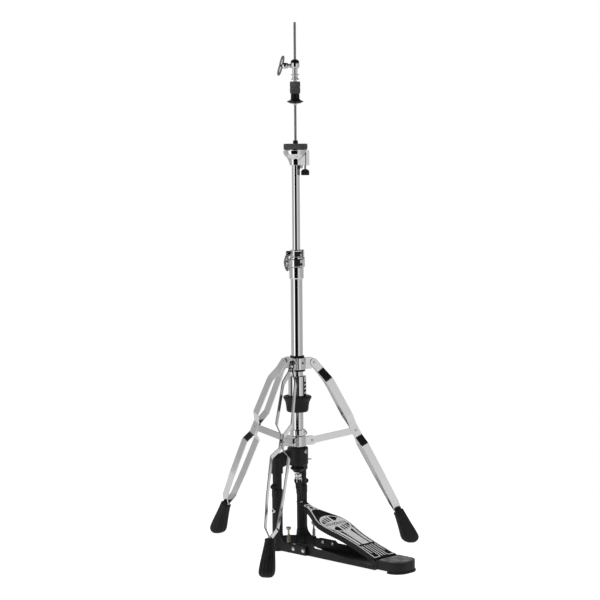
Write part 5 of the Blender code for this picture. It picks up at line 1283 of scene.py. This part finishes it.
def build_spurs():
    for label in ("left", "right"):
        low, high = span("spur_" + label)
        centre = at((low.x + high.x) / 2.0, (low.y + high.y) / 2.0, 0.0)
        top = high.z
        outline = [(0.0, low.z), (2.0, low.z + 5.0)]
        pitch = 1.5
        count = int((top - 16.0 - low.z - 5.0) / pitch)
        for i in range(count):
            z = low.z + 5.0 + pitch * i
            outline += [(2.7, z + pitch * 0.3), (2.7, z + pitch * 0.5), (2.15, z + pitch * 0.9)]
        neck = outline[-1][1]
        outline += [(2.4, neck + 0.6), (2.4, top - 9.0), (4.2, top - 7.0), (5.6, top - 5.2),
                    (6.2, top - 3.0), (6.0, top - 1.2), (4.6, top), (0.0, top)]
        head = lathe(outline, 0.12, 28)
        slot_box = box((-7.0, -0.7, top - 1.2), (7.0, 0.7, top + 2.0), 0.0)
        piece("spur_screw_" + label, moved(cut(head, slot_box), centre), "zinc", "spur_" + label,
              "spur_" + label)
        coil = spring_coil(4.0, 0.65, 30.0, top - 20.0, 5)
        piece("spur_spring_" + label, moved(coil, centre), "zinc", "base")
        nut = prism(arc((0.0, 0.0), 4.9, 0.0, 300.0, 5), 28.4, 31.6, 0.4)
        piece("spur_nut_" + label, moved(cut(nut, peg(2.9, 20.0, 40.0, 0.05, 24)), centre), "zinc", "base")


def build_channel():
    low, high = span("base_channel")
    front = high.y
    heel = low.y
    outer_heel = high.x
    outer_front = 41.0
    rings = []
    wall = 2.5
    stations = ((front, high.z - 4.0), (front - 6.0, high.z), (-44.0, high.z + 1.0), (-88.0, high.z + 1.0),
                (-96.0, high.z - 4.5), (-120.0, 24.5), (-160.0, 21.5), (-200.0, 17.5), (-245.0, 13.6),
                (heel, 11.0))
    for y, top in stations:
        share = min(max((y + 72.0) / (heel + 72.0), 0.0), 1.0)
        outer = outer_front + (outer_heel - outer_front) * share
        inner = outer - wall
        rings.append([(-outer, y, low.z + 1.0), (-outer + 1.0, y, low.z), (outer - 1.0, y, low.z),
                      (outer, y, low.z + 1.0), (outer, y, top - 0.7), (outer - 0.7, y, top),
                      (inner + 0.7, y, top), (inner, y, top - 0.7), (inner, y, low.z + 2.5),
                      (-inner, y, low.z + 2.5), (-inner, y, top - 0.7), (-inner - 0.7, y, top),
                      (-outer + 0.7, y, top), (-outer, y, top - 0.7)])
    body = loft(rings)
    outline = arc((0.0, -30.0), 36.5, 180.0, 360.0, 24) + [(36.5, 10.0), (-36.5, 10.0)]
    window = prism(outline, -10.0, 8.0, 0.0)
    piece("channel", cut(body, window), "casting", "base", "base_channel", sharp=35.0)


def heel_outline(grow, front, end, steps=14):
    half = 39.0 + grow
    corner = 30.0 + grow
    tip = end - grow
    return [(half, front)] + arc((half - corner, tip + corner), corner, 0.0, -90.0,
                                 steps) + arc((-half + corner, tip + corner), corner, -90.0, -180.0,
                                              steps) + [(-half, front)]


def build_heel():
    low, high = span("heel_plate")
    front = -292.0
    end = low.y
    plate = prism(heel_outline(0.0, front, end), low.z, high.z, 0.0)
    tools = []
    for side in (-1.0, 1.0):
        tools.append(moved(peg(4.6, high.z - 3.0, high.z + 9.0, 0.1, 24), at(side * 30.0, front, 0.0)))
    plate = soften(cut(plate, *tools), 1.6, 40.0, 3)
    pin = joint_place("pedal_hinge")
    ears = []
    for side in (-1.0, 1.0):
        near = min(side * 36.8, side * 40.2)
        outline = arc((pin.y, pin.z), 6.6, -60.0, 150.0, 12) + [(front - 4.0, 24.0), (front - 4.0, 10.0),
            (pin.y, 11.0)]
        ear = moved(prism(outline, near, near + 3.4, 0.5),
                    turned(math.pi / 2.0, "Z") @ turned(math.pi / 2.0, "X"))
        ears.append(ear)
    piece("heel", joined(plate, *ears), "casting", "base", "heel_plate", sharp=40.0)
    random.seed(5)
    dots = bmesh.new()
    pitch = 3.9
    inside = 34.0
    for row in range(16):
        for column in range(-9, 10):
            x = (column + (0.5 if row % 2 else 0.0)) * pitch
            y = front - 6.0 - row * pitch
            corner = y < end + 30.0
            if corner and math.hypot(max(abs(x) - 9.0, 0.0), min(y - (end + 30.0), 0.0)) > 25.0:
                continue
            if abs(x) > inside or y < end + 5.0:
                continue
            bump = lathe([(1.3, 0.0), (1.15, 0.5), (0.6, 1.0), (0.0, 1.1)], 0.2, 10)
            bump = moved(bump, at(x, y, high.z - 0.05))
            mesh = bpy.data.meshes.new("dot")
            bump.to_mesh(mesh)
            bump.free()
            dots.from_mesh(mesh)
            bpy.data.meshes.remove(mesh)
    piece("heel_studs", dots, "studs", "base", sharp=80.0)
    low, high = span("heel_rubber")
    pad = soften(prism(heel_outline(2.0, high.y, end), low.z, high.z + 0.3, 0.0), 1.4, 40.0, 3)
    piece("heel_pad", pad, "rubber", "base", "heel_rubber", sharp=40.0)
    low, high = span("heel_hinge_pin")
    rod = moved(lathe([(0.0, low.x - 0.6), (2.2, low.x - 0.6), (3.0, low.x), (3.0, high.x),
                       (2.2, high.x + 0.6), (0.0, high.x + 0.6)], 0.3, 32),
                at(0.0, pin.y, pin.z) @ turned(math.pi / 2.0, "Y"))
    piece("heel_pin", rod, "plastic", "base", "heel_hinge_pin")


# ---------------------------------------------------------------- footboard
PEDAL_SLOPE = math.radians(18.8)
PEDAL_TOP = 9.5
PEDAL_LENGTH = 275.0


def pedal_half(u):
    """Half width of the footboard at a distance from its heel end."""
    stations = [(0.0, 36.2), (25.0, 33.6), (60.0, 31.6), (100.0, 32.4), (125.0, 35.6), (150.0, 41.0),
                (170.0, 43.8),
                (188.0, 43.2), (205.0, 37.0), (222.0, 28.0), (240.0, 19.0), (256.0, 12.6), (275.0, 10.6)]
    count = len(stations)
    for i in range(count - 1):
        if u <= stations[i + 1][0] or i == count - 2:
            u0, b = stations[i]
            u1, c = stations[i + 1]
            a = stations[max(i - 1, 0)]
            d = stations[min(i + 2, count - 1)]
            t = (u - u0) / (u1 - u0)
            slope0 = (c - a[1]) / max(u1 - a[0], 1.0) * (u1 - u0)
            slope1 = (d[1] - b) / max(d[0] - u0, 1.0) * (u1 - u0)
            return b * (2 * t ** 3 - 3 * t ** 2 + 1) + slope0 * (t ** 3 - 2 * t ** 2 + t) + c * (3
                * t ** 2 - 2 * t ** 3) + slope1 * (t ** 3 - t ** 2)
    return stations[-1][1]


def pedal_matrix():
    pin = joint_place("pedal_hinge")
    return at(0.0, pin.y, pin.z) @ turned(PEDAL_SLOPE, "X") @ at(0.0, -3.0, 0.0)


def ribbon(path, width, low, high, closed=False):
    """Flat raised line on the footboard: path is (x, u) points."""
    points = [Vector((x, u, 0.0)) for x, u in path]
    soft = min(0.35, width * 0.2)
    section = [(-width / 2, low), (-width / 2, high - soft), (-width / 2 + soft, high),
               (width / 2 - soft, high), (width / 2, high - soft), (width / 2, low)]
    return sweep(points, section, closed)


def panel(outline, low, high):
    return prism(outline, low, high, 0.2)


def build_footboard():
    matrix = pedal_matrix()
    top = PEDAL_TOP
    rings = []
    count = 184
    for i in range(count + 1):
        u = PEDAL_LENGTH * i / count
        half = pedal_half(u)
        rib = 0.35 if i % 2 else -0.15
        depth = 9.5 if 12.0 < u < PEDAL_LENGTH - 4.0 else 1.5
        edge = half + rib if 12.0 < u < 250.0 else half
        inner = half - 3.0
        rings.append([(-half, u, top), (-half - 0.2, u, top - 1.6), (-edge, u, top - 2.4),
                      (-edge, u, top - 4.0 - depth), (-inner, u, top - 4.0 - depth), (-inner, u, top - 4.0),
                      (inner, u, top - 4.0), (inner, u, top - 4.0 - depth), (edge, u, top - 4.0 - depth),
                      (edge, u, top - 2.4), (half + 0.2, u, top - 1.6), (half, u, top)])
    body = loft(rings)
    hole = moved(peg(4.2, -2.0, 20.0, 0.1, 32), at(0.0, 258.0, 0.0))
    piece("board", cut(body, hole), "tray", "pedal", "footboard", matrix=matrix, sharp=30.0)
    low = top - 0.3
    high = top + 0.4
    silver = []
    border = 2.9
    edge = []
    for i in range(70):
        u = 7.0 + (PEDAL_LENGTH - 8.6) * i / 69.0
        edge.append((pedal_half(u) - border / 2.0 - 0.5, u))
    inner_x = 12.6
    end_u = 7.0
    right = [(inner_x, 62.0), (inner_x, end_u + 9.0)] + arc((inner_x + 5.0, end_u + 5.0), 5.0, 180.0, 270.0,
        6) + [(edge[0][0] - 2.0, end_u)] + edge
    toe = PEDAL_LENGTH - 1.6
    for side in (-1.0, 1.0):
        path = [(side * x, u) for x, u in fillet([Vector(p) for p in right], 2.6, 3)]
        silver.append(ribbon(path, border, low, high))
    silver.append(ribbon([(-edge[-1][0], toe), (edge[-1][0], toe)], border, low, high))
    ring = [(6.8 * math.cos(a), 257.5 + 8.6 * math.sin(a)) for a in [math.tau * k / 40 for k in range(40)]]
    silver.append(ribbon(ring, 3.6, low, high, closed=True))
    for side in (-1.0, 1.0):
        wing = [(side * 5.0, 251.0), (side * 10.0, 247.0), (side * 13.4, 243.0)]
        silver.append(ribbon(wing, 3.0, low, high))
        cheek = [(side * 7.0, 262.0), (side * 9.6, 266.0), (side * 9.8, 272.0)]
        silver.append(ribbon(cheek, 2.6, low, high))
    for x, far in ((-22.4, 26.0), (22.4, 26.0), (-4.3, 8.0), (4.3, 8.0)):
        silver.append(ribbon([(x, 61.0), (x, far)], 2.7, low, high))
    for side in (-1.0, 1.0):
        outline = []
        for i in range(15):
            u = 68.0 + 76.0 * i / 14.0
            outline.append((side * (pedal_half(u) - 7.6), u))
        inner = []
        for i in range(15):
            u = 144.0 - 76.0 * i / 14.0
            inner.append((side * (pedal_half(u) - 14.6 - 1.0 * (u - 68.0) / 76.0), u))
        silver.append(panel(outline + inner, low, high))
    centre = []
    for i in range(13):
        u = 68.0 + 66.0 * i / 12.0
        centre.append((11.6 + 1.2 * (u - 68.0) / 66.0, u))
    centre += [(-x, u) for x, u in reversed(centre)]
    silver.append(panel(centre, low, high))
    piece("board_silver", joined(*silver), "silver", "pedal", matrix=matrix, sharp=35.0)
    build_badge(matrix, low, high)
    build_pedal_underside(matrix)


def build_badge(matrix, low, high):
    """Round badge: a ring, two groups of three slots, four wedges, and a plain chevron band."""
    centre_u = 172.0
    radius = 40.0
    disc = prism(arc((0.0, 0.0), radius, 0.0, 356.0, 89), low, high + 0.15, 0.2)
    tools = []

    def slot_tool(x, y, length, width, angle):
        half = (length - width) / 2.0
        outline = arc((half, 0.0), width / 2.0, -90.0, 90.0, 6) + arc((-half, 0.0), width / 2.0, 90.0,
            270.0, 6)
        return moved(prism(outline, low - 2.0, high + 3.0, 0.0),
                     at(x, y, 0.0) @ turned(math.radians(angle), "Z"))

    def wedge_tool(points):
        closed = fillet([Vector(p) for p in points + [points[0]]], 1.2, 3)[:-1]
        return prism(closed, low - 2.0, high + 3.0, 0.0)

    for sign in (-1.0, 1.0):
        for k, length in enumerate((19.0, 22.0, 20.0)):
            tools.append(slot_tool(sign * (-21.0 + 9.4 * k), sign * (18.0 + 2.6 * k), length, 5.4, 90.0))
        tools.append(wedge_tool([(sign * 7.0, sign * 36.0), (sign * 7.0, sign * 14.0),
                                 (sign * 13.0, sign * 12.0),
                                 (sign * 28.0, sign * 24.0), (sign * 19.0, sign * 32.0)]))
        tools.append(wedge_tool([(sign * -35.0, sign * 7.0), (sign * -26.0, sign * 7.0),
                                 (sign * -26.0, sign * 24.0), (sign * -32.0, sign * 16.0)]))
        for k in range(4):
            x = sign * (8.0 + 7.6 * k)
            tools.append(wedge_tool([(x - 1.8, -5.4), (x + 1.8, -5.4), (x + sign * 1.6 + 1.8, 0.0),
                                     (x + 1.8, 5.4), (x - 1.8, 5.4), (x + sign * 1.6 - 1.8, 0.0)]))
    tools.append(cut(peg(5.2, low - 2.0, high + 3.0, 0.05, 24), peg(2.4, low - 3.0, high + 4.0, 0.05, 24)))
    piece("board_badge", moved(cut(disc, *tools), at(0.0, centre_u, 0.0)), "silver", "pedal", matrix=matrix,
          sharp=30.0)


def build_pedal_underside(matrix):
    """Toe ears, hinge knuckle and web under the board."""
    chain_pivot = joint_place("chain_swing")
    reach = 51.5
    tilt = math.radians(-10.6)
    end = Vector((0.0, chain_pivot.y + reach * math.sin(tilt), chain_pivot.z - reach * math.cos(tilt)))
    local = matrix.inverted() @ end
    for side in (-1.0, 1.0):
        outline = [(258.0, PEDAL_TOP - 4.0), (local.y - 4.0, PEDAL_TOP - 5.0)] + arc((local.y, local.z),
            4.6, -70.0, 110.0, 10) + [(local.y - 8.0, PEDAL_TOP + 0.6), (258.0, PEDAL_TOP - 0.2)]
        near = min(side * 8.6, side * 10.9)
        ear = moved(prism(outline, near, near + 2.3, 0.4),
                    turned(math.pi / 2.0, "Z") @ turned(math.pi / 2.0, "X"))
        piece("toe_ear", ear, "tray", "pedal", matrix=matrix)
    axle = moved(peg(1.5, -12.0, 12.0, 0.3, 20), at(0.0, local.y, local.z) @ turned(math.pi / 2.0, "Y"))
    piece("toe_pin", axle, "satin", "pedal", matrix=matrix)
    knuckle = moved(pipe(3.3, 5.8, -31.0, 31.0, 0.5, 32, closed=True),
                    at(0.0, 3.0, 0.0) @ turned(math.pi / 2.0, "Y"))
    web = box((-28.0, 3.0, 3.2), (28.0, 9.0, PEDAL_TOP - 3.4), 0.5)
    piece("heel_knuckle", joined(knuckle, web), "tray", "pedal", matrix=matrix)


# ---------------------------------------------------------------- stage
VIEW_AZIMUTH = math.atan2(-2.982, -3.023)     # from the column towards the camera
CAMERA_DISTANCE = 4.2464
CAMERA_HEIGHT = 0.956
CAMERA_DROP = math.radians(4.572)
CAMERA_ROLL = math.radians(-0.418)
CAMERA_TURN = math.radians(-0.11)
LENS = 105.12
SENSOR = 36.0


def build_camera():
    data = bpy.data.cameras.new("camera")
    data.lens = LENS
    data.sensor_width = SENSOR
    data.clip_end = 60.0
    camera = bpy.data.objects.new("camera", data)
    bpy.context.scene.collection.objects.link(camera)
    out = Vector((math.cos(VIEW_AZIMUTH), math.sin(VIEW_AZIMUTH), 0.0))
    camera.location = COLUMN + out * CAMERA_DISTANCE + UP * CAMERA_HEIGHT
    heading = VIEW_AZIMUTH + math.pi / 2.0 + CAMERA_TURN
    camera.matrix_world = Matrix.Translation(camera.location) @ turned(heading,
        "Z") @ turned(math.pi / 2.0 - CAMERA_DROP, "X") @ turned(CAMERA_ROLL, "Z")
    bpy.context.scene.camera = camera


def build_floor():
    mesh = bpy.data.meshes.new("floor")
    rim = [(1.05 * math.cos(math.tau * k / 64), 1.05 * math.sin(math.tau * k / 64), 0.0) for k in range(64)]
    mesh.from_pydata(rim, [], [tuple(range(64))])
    floor = bpy.data.objects.new("floor", mesh)
    floor.location = (0.0, 0.0, -0.0006)
    bpy.context.scene.collection.objects.link(floor)
    paper = bpy.data.materials.new("floor_paper")
    paper.use_nodes = True
    nodes = paper.node_tree.nodes
    links = paper.node_tree.links
    shader = nodes["Principled BSDF"]
    shader.inputs["Base Color"].default_value = (0.30, 0.30, 0.30, 1.0)
    shader.inputs["Roughness"].default_value = 0.9
    shader.inputs["Emission Color"].default_value = (1.0, 1.0, 1.0, 1.0)
    seen = nodes.new("ShaderNodeLightPath")
    glow = nodes.new("ShaderNodeMapRange")
    glow.inputs["To Min"].default_value = 0.45
    glow.inputs["To Max"].default_value = 0.97
    links.new(seen.outputs["Is Camera Ray"], glow.inputs["Value"])
    links.new(glow.outputs["Result"], shader.inputs["Emission Strength"])
    mesh.materials.append(paper)


def build_world():
    """Studio round the stand: bright sides, a dark gap behind the camera and a dark ceiling."""
    world = bpy.data.worlds.new("studio")
    bpy.context.scene.world = world
    world.use_nodes = True
    nodes = world.node_tree.nodes
    links = world.node_tree.links
    place = nodes.new("ShaderNodeTexCoord")
    parts = nodes.new("ShaderNodeSeparateXYZ")
    turn = nodes.new("ShaderNodeVectorRotate")
    turn.rotation_type = "Z_AXIS"
    turn.inputs["Angle"].default_value = -VIEW_AZIMUTH
    links.new(place.outputs["Generated"], turn.inputs["Vector"])
    links.new(turn.outputs["Vector"], parts.inputs["Vector"])

    def math_node(operation, *values):
        made = nodes.new("ShaderNodeMath")
        made.operation = operation
        for socket, value in zip(made.inputs, values):
            if isinstance(value, (int, float)):
                socket.default_value = value
            else:
                links.new(value, socket)
        return made.outputs["Value"]

    azimuth = math_node("ARCTAN2", parts.outputs["Y"], parts.outputs["X"])
    share = math_node("MULTIPLY_ADD", azimuth, 1.0 / math.tau, 0.5)
    elevation = math_node("ARCSINE", parts.outputs["Z"])
    belt = nodes.new("ShaderNodeValToRGB")
    ramp = belt.color_ramp
    stops = [(-180.0, 0.62), (-150.0, 0.50), (-112.0, 0.44), (-92.0, 0.40), (-63.5, 0.40), (-59.0, 1.15),
             (-38.0, 1.15),
             (-34.0, 0.003), (22.0, 0.003), (25.0, 0.66), (50.0, 0.62), (60.0, 0.44), (120.0, 0.40),
             (150.0, 0.46), (179.0, 0.62)]
    ramp.elements[0].position = 0.0
    ramp.elements[1].position = 1.0
    for degrees, value in stops[1:-1]:
        ramp.elements.new(degrees / 360.0 + 0.5)
    for element, (_, value) in zip(ramp.elements, stops):
        element.color = (value, value, value, 1.0)
    links.new(share, belt.inputs["Fac"])
    left = nodes.new("ShaderNodeMapRange")
    left.inputs["From Min"].default_value = math.radians(-36.0)
    left.inputs["From Max"].default_value = math.radians(-33.0)
    left.inputs["To Min"].default_value = math.radians(24.0)
    left.inputs["To Max"].default_value = math.radians(18.0)
    links.new(azimuth, left.inputs["Value"])
    over = math_node("SUBTRACT", elevation, left.outputs["Result"])
    ceiling = nodes.new("ShaderNodeMapRange")
    ceiling.inputs["From Min"].default_value = -0.03
    ceiling.inputs["From Max"].default_value = 0.03
    links.new(over, ceiling.inputs["Value"])
    mixed = nodes.new("ShaderNodeMix")
    mixed.data_type = "RGBA"
    links.new(ceiling.outputs["Result"], mixed.inputs["Factor"])
    links.new(belt.outputs["Color"], mixed.inputs[6])
    roof = nodes.new("ShaderNodeMapRange")
    roof.inputs["From Min"].default_value = math.radians(-36.0)
    roof.inputs["From Max"].default_value = math.radians(-33.0)
    roof.inputs["To Min"].default_value = 0.36
    roof.inputs["To Max"].default_value = 0.008
    links.new(azimuth, roof.inputs["Value"])
    links.new(roof.outputs["Result"], mixed.inputs[7])
    zenith = nodes.new("ShaderNodeMapRange")
    zenith.inputs["From Min"].default_value = math.radians(46.0)
    zenith.inputs["From Max"].default_value = math.radians(51.0)
    zenith.inputs["To Min"].default_value = 1.0
    zenith.inputs["To Max"].default_value = 0.02
    links.new(elevation, zenith.inputs["Value"])
    room = nodes["Background"]
    shaded = nodes.new("ShaderNodeMix")
    shaded.data_type = "RGBA"
    links.new(zenith.outputs["Result"], shaded.inputs["Factor"])
    shaded.inputs[6].default_value = (0.01, 0.01, 0.01, 1.0)
    links.new(mixed.outputs[2], shaded.inputs[7])
    links.new(shaded.outputs[2], room.inputs["Color"])
    room.inputs["Strength"].default_value = 1.0
    paper = nodes.new("ShaderNodeBackground")
    paper.inputs["Color"].default_value = (1.0, 1.0, 1.0, 1.0)
    seen = nodes.new("ShaderNodeLightPath")
    choose = nodes.new("ShaderNodeMixShader")
    links.new(seen.outputs["Is Camera Ray"], choose.inputs["Fac"])
    links.new(room.outputs["Background"], choose.inputs[1])
    links.new(paper.outputs["Background"], choose.inputs[2])
    links.new(choose.outputs["Shader"], nodes["World Output"].inputs["Surface"])


def build_lights():
    def area(name, azimuth, distance, height, size, power):
        data = bpy.data.lights.new(name, "AREA")
        data.shape = "RECTANGLE"
        data.size = size[0]
        data.size_y = size[1]
        data.energy = power
        lamp = bpy.data.objects.new(name, data)
        out = Vector((math.cos(azimuth), math.sin(azimuth), 0.0))
        lamp.location = COLUMN + out * distance + UP * height
        aim = COLUMN + UP * 0.4 - lamp.location
        lamp.rotation_euler = aim.to_track_quat("-Z", "Y").to_euler()
        bpy.context.scene.collection.objects.link(lamp)
        lamp.visible_glossy = False

    area("key_left", VIEW_AZIMUTH - math.radians(58.0), 3.6, 1.9, (1.6, 2.2), 44.0)
    area("top_soft", VIEW_AZIMUTH + math.radians(20.0), 1.6, 3.4, (1.8, 1.8), 80.0)


# Wing chrome's base is darkened so the wings read dark: painted reflection of the dark surroundings.
LOOKS["wing"] = node_material("wing_chrome_painted_dark", (0.26, 0.26, 0.27), (0.10, 0.16), 1.0, 200.0, 0.0004, 0.1)
LOOKS["rod"] = node_material("rod_steel", (0.40, 0.40, 0.41), (0.30, 0.36), 1.0, 60.0, 0.0002, 0.04)
LOOKS["gloss"] = node_material("gloss_black", (0.006, 0.006, 0.007), (0.14, 0.22), 0.0, 700.0, 0.004, 0.3,
                               Specular_IOR_Level=0.18)
# Stud grey is far lighter than the black casting so the dots read as glints: painted highlight.
LOOKS["studs"] = node_material("heel_studs", (0.26, 0.26, 0.26), (0.2, 0.34), 0.0, 900.0, 0.01, 0.5)

plain_tube("tube_lower", "chrome", "base", "base_tube", 1.6)
plain_tube("tube_upper", "chrome", "upper_tube", "upper_tube", 1.2)
build_clamp()
build_memory_lock()
build_height_wing()
build_seat_casting()
build_tilt_knob()
build_seat()
build_rods()
build_clutch()
build_chain()
for leg in LEGS:
    build_leg(leg)
    build_brace(leg)
build_top_collar()
build_lower_collar()
build_tension()
build_hub()
build_posts()
build_hoop()
build_spurs()
build_channel()
build_heel()
build_footboard()
for kept, look in (("tube_bushing", "plastic"), ("return_spring", "zinc")):
    mesh = frame["nodes"][kept].data
    mesh.materials.clear()
    mesh.materials.append(LOOKS[look])
build_camera()
build_floor()
build_world()
build_lights()
bpy.context.scene.view_settings.view_transform = "Standard"
